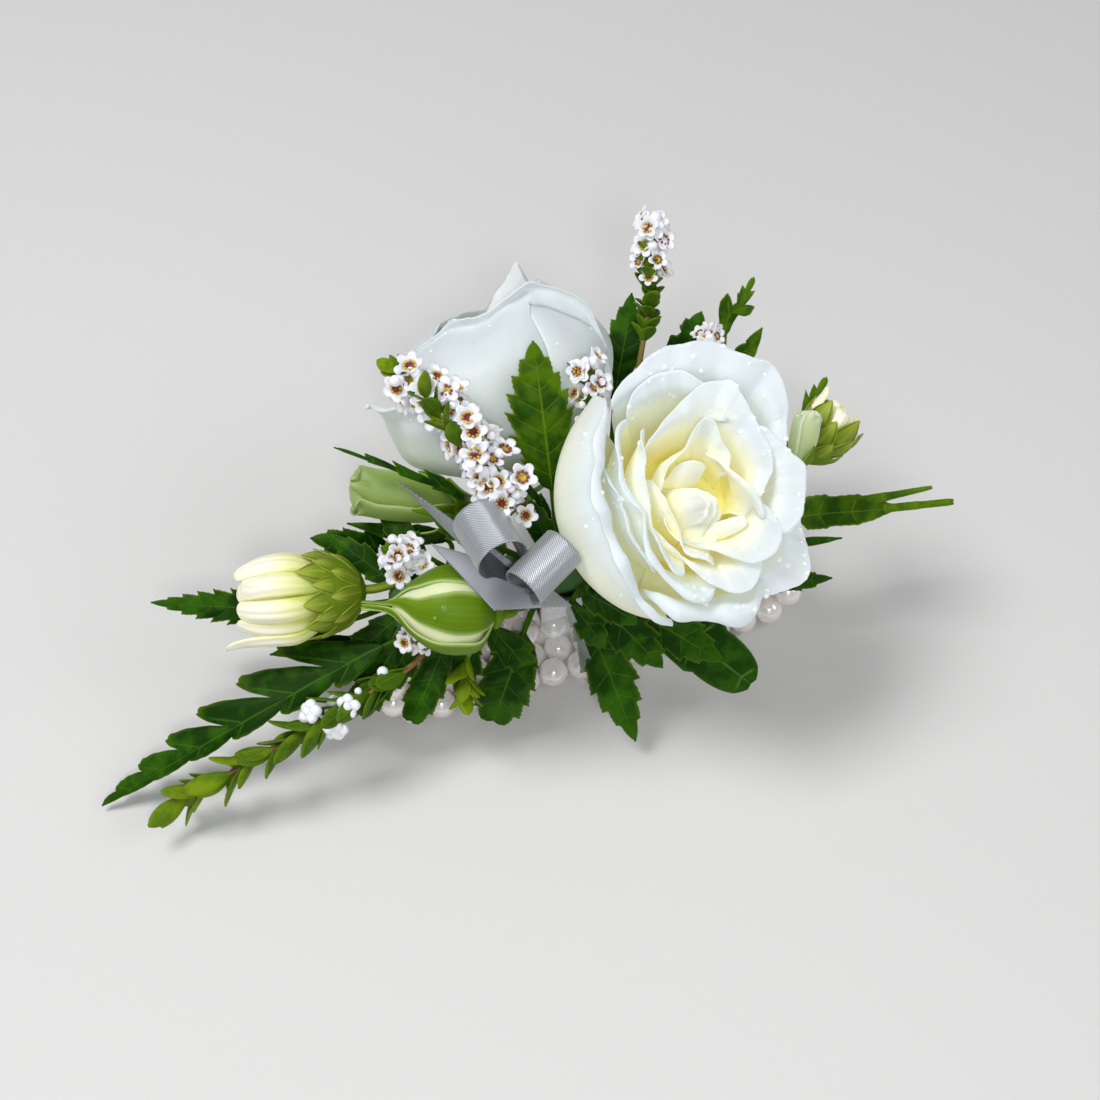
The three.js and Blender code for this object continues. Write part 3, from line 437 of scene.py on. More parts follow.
# ------------------------------------------------------------------ materials
class Graph:
    """A short way to lay out the nodes of a material or of a node group."""

    def __init__(self, tree: bpy.types.NodeTree) -> None:
        """Work on a node tree."""
        self.tree = tree

    def node(self, kind: str, **settings: object) -> bpy.types.Node:
        """A new node with some of its properties set."""
        made = self.tree.nodes.new(kind)
        for key, value in settings.items():
            setattr(made, key, value)
        return made

    def feed(self, target: Socket, value: object) -> None:
        """Put a constant on a socket, or link another socket to it. A colour's three numbers are opaque."""
        if isinstance(value, bpy.types.NodeSocket):
            self.tree.links.new(value, target)
        else:
            target.default_value = (*value, 1.0) if target.type == "RGBA" else value

    def feed_all(self, fed: bpy.types.Node, **values: object) -> bpy.types.Node:
        """Feed a node's inputs by name, with spaces as underscores."""
        for key, value in values.items():
            self.feed(fed.inputs[key.replace("_", " ")], value)
        return fed

    def maths(self, operation: str, *values: object) -> Socket:
        """A sum of numbers or sockets."""
        made = self.node("ShaderNodeMath", operation=operation)
        for target, value in zip(made.inputs, values):
            self.feed(target, value)
        return made.outputs[0]

    def times(self, a: object, b: object) -> Socket:
        """One value times another."""
        return self.maths("MULTIPLY", a, b)

    def rest(self, value: object) -> Socket:
        """What a value leaves of 1."""
        return self.maths("SUBTRACT", 1.0, value)

    def bump(self, height: object, strength: object, depth: object, invert: bool = False) -> Socket:
        """The normal over a height, bumped by a strength and a depth in metres."""
        made = self.node("ShaderNodeBump", invert=invert)
        return self.feed_all(made, Strength=strength, Distance=depth, Height=height).outputs["Normal"]

    def mix(self, factor: object, a: object, b: object) -> Socket:
        """A blend of two colours."""
        made = self.node("ShaderNodeMix", data_type="RGBA")
        for target, value in zip((made.inputs[0], made.inputs[6], made.inputs[7]), (factor, a, b)):
            self.feed(target, value)
        return made.outputs[2]

    def steps(self, value: object, low: float, high: float) -> Socket:
        """A smooth step of a value from 0 at low to 1 at high."""
        made = self.node("ShaderNodeMapRange", interpolation_type="SMOOTHSTEP")
        for target, given in zip(made.inputs, (value, low, high, 0.0, 1.0)):
            self.feed(target, given)
        return made.outputs[0]

    def guide(self, name: str) -> tuple[Socket, Socket, Socket]:
        """The three numbers of a guide on the mesh."""
        read = self.node("ShaderNodeAttribute", attribute_name=name)
        split = self.node("ShaderNodeSeparateXYZ")
        self.feed(split.inputs[0], read.outputs["Vector"])
        return tuple(split.outputs)

    def group(self, made: bpy.types.NodeTree, **values: object) -> bpy.types.Node:
        """A node group placed here, with its inputs fed by name."""
        return self.feed_all(self.node("ShaderNodeGroup", node_tree=made), **values)


def new_group(name: str, inputs: dict[str, float], outputs: dict[str, str]) -> tuple[Graph, object, object]:
    """A new shader node group.

    Args:
        name: the group's name.
        inputs: the names of its number inputs and their first values.
        outputs: the names of its outputs and their socket types.

    Returns:
        The graph to build in, the group's input node and its output node.
    """
    tree = bpy.data.node_groups.new(name, "ShaderNodeTree")
    for key, value in inputs.items():
        tree.interface.new_socket(key, in_out="INPUT", socket_type="NodeSocketFloat").default_value = value
    for key, kind in outputs.items():
        tree.interface.new_socket(key, in_out="OUTPUT", socket_type=kind)
    graph = Graph(tree)
    return graph, graph.node("NodeGroupInput"), graph.node("NodeGroupOutput")


def grain_group() -> bpy.types.NodeTree:
    """Fine grain: noise on object coordinates, as a mask and as a bumped normal."""
    graph, given, result = new_group(
        "Fine grain",
        {"Scale": 900.0, "Strength": 0.2, "Depth": 0.0001},
        {"Mask": "NodeSocketFloat", "Normal": "NodeSocketVector"},
    )
    where = graph.node("ShaderNodeTexCoord").outputs["Object"]
    noise = graph.feed_all(
        graph.node("ShaderNodeTexNoise"), Vector=where, Scale=given.outputs["Scale"], Detail=3.0
    ).outputs["Fac"]
    normal = graph.bump(noise, given.outputs["Strength"], given.outputs["Depth"])
    graph.feed_all(result, Mask=noise, Normal=normal)
    return graph.tree


def vein_group() -> bpy.types.NodeTree:
    """Leaf veins: a midrib down the middle and a side vein to each tooth, fading towards the edge.

    The pattern guide holds the place across the blade, from -1 to 1, and the place along it counted in
    teeth. A side vein runs where the fraction of the count is near the tooth's point.
    """
    graph, given, result = new_group(
        "Leaf veins",
        {"Vein width": 0.06, "Vein place": 0.8125, "Side strength": 1.0, "Relief": 0.0002},
        {"Mask": "NodeSocketFloat", "Normal": "NodeSocketVector"},
    )
    across, along, _ = graph.guide("pattern")
    off_middle = graph.maths("ABSOLUTE", across)
    midrib = graph.rest(graph.steps(off_middle, 0.01, 0.07))
    shifted = graph.maths("ADD", graph.maths("SUBTRACT", along, given.outputs["Vein place"]), 0.5)
    distance = graph.maths("ABSOLUTE", graph.maths("SUBTRACT", graph.maths("FRACT", shifted), 0.5))
    near = graph.maths("DIVIDE", distance, given.outputs["Vein width"])
    side = graph.rest(graph.steps(near, 0.1, 1.0))
    fade = graph.rest(graph.steps(off_middle, 0.45, 1.0))
    side = graph.times(graph.times(side, fade), given.outputs["Side strength"])
    mask = graph.maths("MAXIMUM", midrib, side)
    graph.feed_all(result, Mask=mask, Normal=graph.bump(mask, 0.7, given.outputs["Relief"], invert=True))
    return graph.tree


@dataclass(frozen=True)
class Groups:
    """The shader node groups that several materials use."""

    grain: bpy.types.NodeTree
    veins: bpy.types.NodeTree


GROUPS = Groups(grain_group(), vein_group())


def start_material(name: str) -> tuple[bpy.types.Material, Graph, bpy.types.Node]:
    """A new material with one Principled shader.

    Args:
        name: the material's name.

    Returns:
        The material, its graph and the shader node.
    """
    material = bpy.data.materials.new(name)
    material.use_nodes = True
    return material, Graph(material.node_tree), material.node_tree.nodes["Principled BSDF"]


@dataclass(frozen=True)
class PetalFinish:
    """A petal: cool at its rim, warmer inwards, with faint lengthwise veins, light scattered inside it and a
    faint painted glow.

    The tint guide's warmth blends the three colours. Greenness blends in the green of a petal's foot.
    """

    name: str
    cool: Triple = (0.77, 0.868, 0.890)
    warm: Triple = (0.99, 0.97, 0.69)
    deep: Triple = (1.0, 0.92, 0.36)
    green: Triple = (0.60, 0.70, 0.26)
    roughness: float = 0.5
    glow: float = 0.6
    # painted light: emission in the petal's own colour, a glow that lifts its shade
    painted_light: float = 0.07
    vein_count: float = 9.0

    def make(self) -> bpy.types.Material:
        """Build the material."""
        material, graph, shader = start_material(self.name)
        warmth, greenness, _ = graph.guide("tint")
        across, _, _ = graph.guide("pattern")
        grain = graph.group(GROUPS.grain, Scale=700.0, Strength=0.16, Depth=0.00012)
        body = graph.mix(graph.steps(warmth, 0.0, 0.6), self.cool, self.warm)
        body = graph.mix(graph.steps(warmth, 0.55, 1.0), body, self.deep)
        body = graph.mix(greenness, body, self.green)
        waves = graph.maths("SINE", graph.times(across, self.vein_count * math.tau))
        ribs = graph.times(graph.steps(waves, 0.6, 1.0), 0.10)
        tone = graph.mix(ribs, body, tuple(0.8 * c for c in self.warm))
        # The emission is painted light: the petal glows faintly in its own colour.
        graph.feed_all(
            shader, Base_Color=tone, Emission_Color=tone, Emission_Strength=self.painted_light,
            Normal=grain.outputs["Normal"], Roughness=self.roughness, Subsurface_Weight=self.glow,
            Subsurface_Radius=(1.0, 0.95, 0.7), Subsurface_Scale=0.0025, Sheen_Weight=0.08,
        )
        return material


@dataclass(frozen=True)
class LeafFinish:
    """A leaf: two greens blended by noise, lighter veins and margin, and a paler underside."""

    name: str
    dark: Triple
    light: Triple
    vein: Triple
    margin: Triple
    roughness: float = 0.46
    side_veins: float = 0.7
    vein_width: float = 0.055
    relief: float = 0.00012

    def make(self) -> bpy.types.Material:
        """Build the material."""
        material, graph, shader = start_material(self.name)
        warmth, margin, back = graph.guide("tint")
        veins = graph.group(
            GROUPS.veins, Vein_width=self.vein_width, Side_strength=self.side_veins, Relief=self.relief
        )
        grain = graph.group(GROUPS.grain, Scale=260.0, Strength=0.1, Depth=0.0002)
        blotch = graph.maths("ADD", graph.steps(grain.outputs["Mask"], 0.35, 0.7), warmth)
        blade = graph.mix(graph.maths("MINIMUM", blotch, 1.0), self.dark, self.light)
        blade = graph.mix(graph.times(margin, 0.8), blade, self.margin)
        blade = graph.mix(graph.times(veins.outputs["Mask"], 0.6), blade, self.vein)
        under = tuple(0.4 * a + 0.6 * b + 0.01 for a, b in zip(self.dark, self.light))
        blade = graph.mix(graph.times(back, 0.35), blade, under)
        graph.feed_all(
            shader, Base_Color=blade, Normal=veins.outputs["Normal"], Roughness=self.roughness,
            Specular_IOR_Level=0.11, Specular_Tint=(0.8, 1.0, 0.5), Subsurface_Weight=0.12,
            Subsurface_Radius=(0.4, 1.0, 0.2), Subsurface_Scale=0.0006,
        )
        return material


@dataclass(frozen=True)
class StripedFinish:
    """Green sepals and bracts: a blade with a darker outline, pale stripes and a light margin."""

    name: str
    blade: Triple
    stripe: Triple
    outline: Triple
    stripes: float = 3.0
    contrast: float = 0.35
    roughness: float = 0.45

    def make(self) -> bpy.types.Material:
        """Build the material."""
        material, graph, shader = start_material(self.name)
        warmth, margin, _ = graph.guide("tint")
        across, _, _ = graph.guide("pattern")
        grain = graph.group(GROUPS.grain, Scale=500.0, Strength=0.2, Depth=0.0002)
        waves = graph.maths("COSINE", graph.times(across, self.stripes * math.pi))
        lines = graph.times(graph.steps(waves, 0.4, 1.0), self.contrast)
        body = graph.mix(lines, self.blade, self.stripe)
        body = graph.mix(warmth, body, self.stripe)
        body = graph.mix(margin, body, self.outline)
        body = graph.mix(graph.times(grain.outputs["Mask"], 0.2), body, self.blade)
        graph.feed_all(
            shader, Base_Color=body, Normal=grain.outputs["Normal"], Roughness=self.roughness,
            Specular_IOR_Level=0.22, Specular_Tint=(0.9, 1.0, 0.6), Subsurface_Weight=0.15,
            Subsurface_Radius=(0.6, 1.0, 0.3), Subsurface_Scale=0.001,
        )
        return material


@dataclass(frozen=True)
class SatinFinish:
    """Woven ribbon: fine diagonal lines, a brighter sheen across the weave, a stitched edge, and painted
    shade on the front side, inside the loops and under the tails.
    """

    name: str
    thread: Triple = (0.62, 0.645, 0.68)
    shade: Triple = (0.19, 0.21, 0.245)
    threads: float = 26.0

    def make(self) -> bpy.types.Material:
        """Build the material."""
        material, graph, shader = start_material(self.name)
        across, along, _ = graph.guide("pattern")
        _, _, outer = graph.guide("tint")
        slant = graph.maths("ADD", graph.times(across, self.threads), along)
        twill, weft, stitches = (
            graph.maths("SINE", graph.times(value, rate * math.pi))
            for value, rate in ((slant, 1.0), (along, 2.3), (along, 1.1))
        )
        weave = graph.maths("ADD", graph.times(twill, 0.6), graph.times(weft, 0.4))
        edge = graph.steps(graph.maths("ABSOLUTE", across), 0.92, 0.95)
        selvedge = graph.times(edge, graph.steps(stitches, -0.2, 0.3))
        height = graph.maths("ADD", weave, graph.times(selvedge, 1.5))
        body = graph.mix(graph.steps(weave, -1.0, 1.0), self.shade, self.thread)
        # The front side and the edge get darker: painted shade inside the loops and under the tails, and
        # partly the duller reverse of single-face satin.
        inner = graph.times(graph.rest(outer), 0.75)
        body = graph.mix(inner, body, tuple(0.45 * c for c in self.shade))
        graph.feed_all(
            shader, Base_Color=body, Normal=graph.bump(height, 0.5, 0.0001), Metallic=0.6, Roughness=0.30,
            Anisotropic=0.5, Sheen_Weight=0.3,
        )
        return material


@dataclass(frozen=True)
class PlainFinish:
    """A plain finish with fine grain: tape, elastic, flower centres, steel and others."""

    name: str
    body: Triple
    second: Triple | None = None
    roughness: float = 0.5
    metallic: float = 0.0
    coat: float = 0.0
    film: float = 0.0
    clear: float = 0.0
    cover: float = 1.0
    # light: painted light, an emission in the body colour, though the piece is no lamp
    light: float = 0.0
    grain: float = 900.0
    relief: float = 0.00005

    def make(self) -> bpy.types.Material:
        """Build the material. The tint guide's warmth blends the second colour in."""
        material, graph, shader = start_material(self.name)
        grain = graph.group(GROUPS.grain, Scale=self.grain, Strength=0.3, Depth=self.relief)
        second = self.second
        body = self.body if second is None else graph.mix(graph.guide("tint")[0], self.body, second)
        # Emission_Strength is the painted light: the body glows in its own colour.
        graph.feed_all(
            shader, Base_Color=body, Normal=grain.outputs["Normal"], Roughness=self.roughness,
            Metallic=self.metallic, Coat_Weight=self.coat, Coat_Roughness=0.04, Alpha=self.cover,
            Emission_Color=self.body, Emission_Strength=self.light, Thin_Film_Thickness=self.film,
            Transmission_Weight=self.clear,
        )
        return material


@dataclass(frozen=True)
class SheerFinish:
    """Sheer net: a grey thread grid that shows what is behind it."""

    name: str
    thread: Triple = (0.72, 0.73, 0.77)
    cover: float = 0.06

    def make(self) -> bpy.types.Material:
        """Build the material."""
        material, graph, shader = start_material(self.name)
        across, along, _ = graph.guide("pattern")
        warp, weft = (
            graph.maths("SINE", graph.times(value, rate * math.pi))
            for value, rate in ((across, 40), (along, 4))
        )
        net = graph.steps(graph.maths("MAXIMUM", warp, weft), 0.2, 1.0)
        near_knot = graph.rest(graph.steps(along, 6.0, 34.0))
        alpha = graph.maths("ADD", graph.times(net, 0.13), self.cover)
        alpha = graph.maths("ADD", alpha, graph.times(near_knot, 0.12))
        graph.feed_all(shader, Base_Color=self.thread, Roughness=0.4, Alpha=alpha)
        return material


ROSE_WHITE = PetalFinish("rose petal", vein_count=14.0)
# The back rose: the same white rose made darker and bluer, as painted shade.
ROSE_IN_SHADE = PetalFinish(
    "rose petal in painted shade", cool=(0.72, 0.795, 0.80), warm=(0.83, 0.87, 0.74), deep=(0.90, 0.88, 0.50),
    green=(0.60, 0.72, 0.44), vein_count=14.0, painted_light=0.03,
)
BUD_CREAM = PetalFinish(
    "bud petal", cool=(0.93, 0.90, 0.72), warm=(0.90, 0.88, 0.45), deep=(0.60, 0.66, 0.10),
    green=(0.42, 0.55, 0.10), vein_count=1.5, glow=0.3,
)
# The pale bud: its colours taken down to about six tenths, as painted shade.
BUD_IN_SHADE = PetalFinish(
    "bud petal in painted shade", cool=(0.32, 0.42, 0.15), warm=(0.20, 0.31, 0.05), deep=(0.14, 0.25, 0.03),
    green=(0.15, 0.27, 0.03), vein_count=5.0, glow=0.3,
)
BUD_WHITISH = PetalFinish(
    "whitish bud petal", cool=(0.68, 0.76, 0.52), warm=(0.48, 0.58, 0.26), deep=(0.40, 0.52, 0.12),
    green=(0.30, 0.46, 0.08), vein_count=5.0, glow=0.3,
)
SPRAY_WHITE = PetalFinish(
    "spray petal", cool=(0.86, 0.87, 0.92), warm=(0.70, 0.62, 0.66), deep=(0.36, 0.10, 0.14),
    green=(0.60, 0.66, 0.42), vein_count=0.0, glow=0.3, roughness=0.55,
)
DARK_LEAF = LeafFinish(
    "dark leaf", dark=(0.005, 0.034, 0.001), light=(0.027, 0.103, 0.002), vein=(0.060, 0.165, 0.010),
    margin=(0.085, 0.155, 0.005),
)
IVY_LEAF = LeafFinish(
    "ivy leaf", dark=(0.005, 0.036, 0.001), light=(0.024, 0.092, 0.003), vein=(0.11, 0.25, 0.04),
    margin=(0.035, 0.12, 0.008), vein_width=0.035, side_veins=1.0,
)
BRIGHT_LEAF = LeafFinish(
    "bright leaf", dark=(0.018, 0.065, 0.002), light=(0.080, 0.165, 0.002), vein=(0.14, 0.24, 0.010),
    margin=(0.12, 0.20, 0.004), relief=0.00008,
)
SHOOT_LEAF = LeafFinish(
    "shoot leaf", dark=(0.012, 0.080, 0.003), light=(0.200, 0.300, 0.004), vein=(0.24, 0.34, 0.02),
    margin=(0.17, 0.24, 0.010), side_veins=0.2, roughness=0.42,
)
SEPAL_GREEN = StripedFinish(
    "sepal", blade=(0.105, 0.200, 0.002), stripe=(0.30, 0.46, 0.05), outline=(0.46, 0.60, 0.20), stripes=6.4,
    contrast=0.07,
)
BRACT_GREEN = StripedFinish(
    "bract", blade=(0.115, 0.20, 0.004), stripe=(0.40, 0.45, 0.06), outline=(0.040, 0.040, 0.003),
    stripes=2.0,
)
STEM_GREEN = PlainFinish("green stem", (0.08, 0.20, 0.02), (0.22, 0.09, 0.02), roughness=0.5)
CENTRES = PlainFinish("flower centre", (0.62, 0.50, 0.05), (0.20, 0.015, 0.03), roughness=0.6)
# The pearl has a faint painted glow, its light.
NACRE = PlainFinish(
    "pearl", (1.0, 0.94, 0.90), roughness=0.14, metallic=0.3, light=0.015, coat=1.0, film=380.0, grain=300.0,
    relief=0.00002,
)
STEEL = PlainFinish("brushed steel", (0.60, 0.60, 0.61), roughness=0.32, metallic=1.0)
TAPE = PlainFinish("floral tape", (0.055, 0.155, 0.035), roughness=0.75, grain=1400.0, relief=0.0002)
ELASTIC = PlainFinish("clear elastic", (0.75, 0.75, 0.75), roughness=0.2, clear=0.6)
# Dew: white at part cover with a glow, painted light for the bright spot of each drop.
DEW = PlainFinish("dew", (1.0, 1.0, 1.0), roughness=0.02, coat=1.0, cover=0.45, relief=0.0, light=0.22)
CLEAR_DEW = PlainFinish("clear dew", (0.30, 0.52, 0.10), roughness=0.02, coat=1.0, cover=0.35, relief=0.0)
SATIN = SatinFinish("satin")
SHEER = SheerFinish("sheer net")
FLOOR = PlainFinish("floor", (0.70, 0.70, 0.69), roughness=0.9)

Finish = PetalFinish | LeafFinish | StripedFinish | SatinFinish | PlainFinish | SheerFinish
MADE: dict[str, bpy.types.Material] = {}


def material_of(finish: Finish) -> bpy.types.Material:
    """The one material of a finish, built at its first use."""
    if finish.name not in MADE:
        MADE[finish.name] = finish.make()
    return MADE[finish.name]


def finish_piece(
    name: str, shape: Shape, finish: Finish, slot: str, nodes: Sequence[str], frame_is_face: bool = True
) -> bpy.types.Object:
    """Turn a gathered shape into a piece that rides on the body.

    Args:
        name: the piece's name.
        shape: its surfaces.
        finish: its finish.
        slot: the record's material slot. Not used.
        nodes: the CAD nodes that it stands for.
        frame_is_face: its points are in the working frame.

    Returns:
        The new object.
    """
    piece = bpy.data.objects.new(name, shape.mesh(name, frame_is_face))
    piece.data.materials.append(material_of(finish))
    bpy.context.scene.collection.objects.link(piece)
    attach(piece, BODY)
    if nodes:
        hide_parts(*nodes)
    log.info("%s: %d faces", name, len(piece.data.polygons))
    return piece


# ------------------------------------------------------------------ the bracelet
@dataclass
class Bracelet:
    """Strands of pearls on clear elastic, the clip on top of them, and the taped bundle in the clip."""

    pearl: float = PEARL
    count: int = PEARLS_PER_STRAND
    strands: int = STRANDS
    spacing: float = STRAND_SPACING
    bend: float = LOOP_RADIUS
    elastic: float = 0.45
    tape_turns: float = 13.0

    def line(self, distance: Array) -> Array:
        """Points on a strand's middle line: two straight runs and two half circles.

        Args:
            distance: lengths along the line from the middle of its lower run.

        Returns:
            Points with y at 0.
        """
        length = self.count * self.pearl
        half = (length - 2 * math.pi * self.bend) / 4
        arc = math.pi * self.bend
        s = np.mod(distance, length)
        turn_1, turn_2 = (s - half) / self.bend, (s - 3 * half - arc) / self.bend
        runs = [s < half, s < half + arc, s < 3 * half + arc, s < 3 * half + 2 * arc]
        bend = self.bend
        across = [s, half + bend * np.sin(turn_1), 2 * half - (s - arc), -half - bend * np.sin(turn_2)]
        height = [0 * s, bend * (1 - np.cos(turn_1)), 0 * s + 2 * bend, bend * (1 + np.cos(turn_2))]
        x, z = np.select(runs, across, s - length), np.select(runs, height, 0 * s)
        return np.stack([x, 0 * s, z + self.pearl / 2], axis=-1)

    def build(self) -> None:
        """Make the pearls, the elastic and the tape, and dress the clip."""
        elastic = Shape()
        for k in range(self.strands):
            across = (k - (self.strands - 1) / 2) * self.spacing
            phase = 0 if 2 * k + 1 == self.strands else 0.5
            centres = self.line((np.arange(self.count) + phase) * self.pearl) + vec(0, across, 0)
            pearls = Shape()
            for centre in centres:
                self.add_pearl(pearls, centre)
            finish_piece(f"pearls_{k + 1}", pearls, NACRE, "pearl", [f"pearl_strand_{k + 1}"], False)
            round_loop = self.line(np.linspace(0, self.count * self.pearl, 240, endpoint=False))
            self.add_loop(elastic, round_loop + vec(0, across, 0))
        finish_piece("elastic", elastic, ELASTIC, "pearl", [], False)
        self.build_tape()
        clip = bpy.data.objects["clip"]
        clip.data.materials.clear()
        clip.data.materials.append(material_of(STEEL))

    def add_pearl(self, shape: Shape, centre: Array) -> None:
        """Add a sphere: rings at even angles from pole to pole, with a small hole dimple at each pole."""
        polar_angle = np.linspace(0.12, math.pi - 0.12, 15)[:, None]
        radius = self.pearl / 2 * PEARL_SHRINK
        rings = centre + polar(radius * np.sin(polar_angle), circle(24)[None], radius * np.cos(polar_angle))
        pole = vec(0, 0, radius * 0.99)
        shape.rings(rings, (centre + pole, centre - pole))

    def add_loop(self, shape: Shape, path: Array) -> None:
        """Add a closed round cord: a circle carried along a closed path in a plane of constant y."""
        along = unit(np.roll(path, -1, axis=0) - np.roll(path, 1, axis=0))
        side = np.broadcast_to(vec(0, 1, 0), along.shape)
        up = np.cross(along, side)
        sides = 8
        angle = circle(sides)[None, :, None]
        rings = path[:, None] + self.elastic * (np.cos(angle) * side[:, None] + np.sin(angle) * up[:, None])
        faces = grid_faces(len(path), sides, wrap_rows=True, wrap_columns=True)
        shape.add(rings.reshape(-1, 3), faces, NO_PATTERN, NO_TINT)

    def build_tape(self) -> None:
        """The bundle: a cylinder whose radius steps up along a helix, as wound tape laps over itself."""
        half = BUNDLE_LENGTH / 2
        t = np.linspace(-1, 1, 200)[:, None]
        angle = circle(48)[None]
        lap = np.mod(t * self.tape_turns / 2 + angle / (2 * math.pi), 1.0)
        taper = np.sqrt(np.clip(1 - np.clip((np.abs(t) - 0.95) / 0.05, 0, 1) ** 2, 0.0, 1.0))
        stems = 0.12 * np.cos(6 * angle + 0.6 * t)
        radius = (BUNDLE_RADIUS - 0.35 + 0.3 * lap**3 + stems) * (0.55 + 0.45 * taper)
        tape = Shape()
        tape.rings(stack(t * half, radius * np.cos(angle), BUNDLE_HEIGHT + radius * np.sin(angle)))
        finish_piece("stem_wrap", tape, TAPE, "floral_tape", ["taped_bundle"], False)


# ------------------------------------------------------------------ leaves
class Outline(Enum):
    """The outline of a leaf, as half its width by the share of the way along."""

    OVATE = "ovate"
    LANCE = "lance"
    BROAD = "broad"
    TAPER = "taper"
    FORK = "fork"
    FROND = "frond"

    def width(self, b: Array) -> Array:
        """Half the width as a share of the widest: a power of a sine, or of what is left of the way."""
        waves = {
            Outline.OVATE: lambda: np.sin(math.pi * (0.04 + 0.96 * b) ** 0.72) ** 0.92,
            Outline.LANCE: lambda: np.sin(math.pi * (0.05 + 0.95 * b) ** 0.6) ** 0.9,
            Outline.BROAD: lambda: np.sin(math.pi * (0.12 + 0.86 * b)) ** 0.5,
            Outline.TAPER: lambda: 1 - 0.75 * b,
            Outline.FORK: lambda: (1 - 0.68 * smooth(b, 0.38, 0.62)) * (1 - 0.5 * b),
            Outline.FROND: lambda: (1 - b) ** 0.75 * np.minimum(1, 0.7 + 3 * b),
        }
        with np.errstate(invalid="ignore"):
            return np.nan_to_num(waves[self]())


TOOTH_POINT = 13 / 16
LEAF_MIDDLE, LEAF_EDGE = 0.5, 0.26


class Edge(Enum):
    """How the edge is cut between two notches."""

    TOOTHED = "toothed"
    FINGERS = "fingers"

    def cut(self, x: Array) -> Array:
        """The share of a tooth's depth that is cut away: a rounded rise to the tooth, then a fall."""
        if self is Edge.TOOTHED:
            rise = 1 - (np.clip(x, 0, TOOTH_POINT) / TOOTH_POINT) ** 0.85
            fall = (np.clip(x - TOOTH_POINT, 0, 1) / (1 - TOOTH_POINT)) ** 1.1
            return np.where(x < TOOTH_POINT, rise, fall)
        return 1 - np.sin(math.pi * x**1.25) ** 0.5


@dataclass
class Leaf:
    """One leaf on its stalk, which leaves the bundle at a root."""

    name: str
    start: Triple
    tip: Triple
    half: float
    root: float | None = None
    right_half: float | None = None
    face: Triple = (0, 0, 1)
    teeth: int = 5
    depth: float = 0.25
    right_depth: float | None = None
    sweep: float = 35.0
    arch: float = 1.5
    fold: float = 0.1
    shape: Outline = Outline.OVATE
    edge: Edge = Edge.TOOTHED
    crowding: float = 1.0
    finish: LeafFinish = DARK_LEAF
    slot: str = "leaf"
    warmth: float = 0.0
    serration: float = 0.06
    webbing: float = 0.0
    ripple: int = 0

    def rib(self) -> Array:
        """The control points of the rib, from the bundle or from the leaf's start."""
        start, tip = vec(*self.start), vec(*self.tip)
        middle = lerp(start, tip, 0.5) + unit(self.face) * self.arch
        blade = [start, middle, tip]
        return np.array(blade if self.root is None else [bundle_edge(self.root, start), *blade])

    def add_to(self, shape: Shape) -> None:
        """Add the blade, its midrib and its stalk.

        A row of the blade runs from the rib to both edges, swept forward. Its half width is the outline's,
        less what the teeth cut away, with finer teeth on top. The blade sinks towards its edges and
        bulges between the side veins. Its ripples start by its own number, or by the length of its name.

        Args:
            shape: where the surfaces go.
        """
        per_tooth, columns = 16, 10
        rib, face = self.rib(), unit(self.face)
        stalk = 0.0 if self.root is None else 1 / 3
        place = np.arange(self.teeth * per_tooth + 1) / per_tooth
        b = 1 - (1 - place / self.teeth) ** self.crowding
        t = lerp(stalk, 1.0, b)
        at, along = spline(rib, t), headings(rib, t)
        side = unit(np.cross(face, along))
        up = np.cross(along, side)
        width, cut = self.shape.width(b), self.edge.cut(np.mod(place, 1.0))
        cut = cut * (1 - self.webbing * smooth(b, 0.45, 0.9))
        fine = 1 - self.serration * np.mod(place * 4, 1.0)
        right_half = self.half if self.right_half is None else self.right_half
        right_depth = self.depth if self.right_depth is None else self.right_depth
        left = np.maximum(self.half * width * (1 - cut * self.depth) * fine, 0.2)[:, None]
        right = np.maximum(right_half * width * (1 - cut * right_depth) * fine, 0.2)[:, None]
        c = np.linspace(1, -1, 2 * columns + 1)[None]
        reach = np.where(c > 0, left, right)
        forward = math.radians(self.sweep)
        mean = (self.half + right_half) / 2
        between = np.sin(math.pi * (place[:, None] - TOOTH_POINT)) ** 2 * np.sin(math.pi * np.abs(c))
        wave = np.sin(math.tau * (place[:, None] / 1.9 + 0.2 * (self.ripple or len(self.name)))) * c**2
        lift = -reach * self.fold * np.abs(c) ** 1.3 + 0.035 * mean * between * width[:, None]
        lift = lift + 0.05 * mean * wave * width[:, None]
        out = c * reach * math.cos(forward)
        ahead = np.abs(c) * reach * math.sin(forward)
        grid = at[:, None] + out[..., None] * side[:, None] + ahead[..., None] * along[:, None]
        grid = grid + lift[..., None] * up[:, None]
        thickness = lerp(LEAF_MIDDLE, LEAF_EDGE, np.abs(c)) * np.ones_like(grid[..., 0])
        warmth = self.warmth - 0.35 + 0.8 * smooth(b, 0.35, 1.0)[:, None]
        margin = smooth(np.abs(c), 0.86, 1.0)
        shape.sheet(grid, thickness, stack(c, place[:, None], 0.5), stack(warmth, margin, 0.0))
        share = np.linspace(0 if self.root is not None else stalk, 0.96, 30)
        spine = spline(rib, share) - np.mean(up, axis=0) * 0.22
        radius = np.interp(share, [0, stalk, 1], [0.65, STALK, 0.14])
        shape.tube(spine, radius, 6, (0.5 + self.warmth, 0.2, 0))

    def build(self) -> None:
        """Make the leaf's piece."""
        shape = Shape()
        self.add_to(shape)
        finish_piece(f"{self.name}_blade", shape, self.finish, self.slot, [self.name])


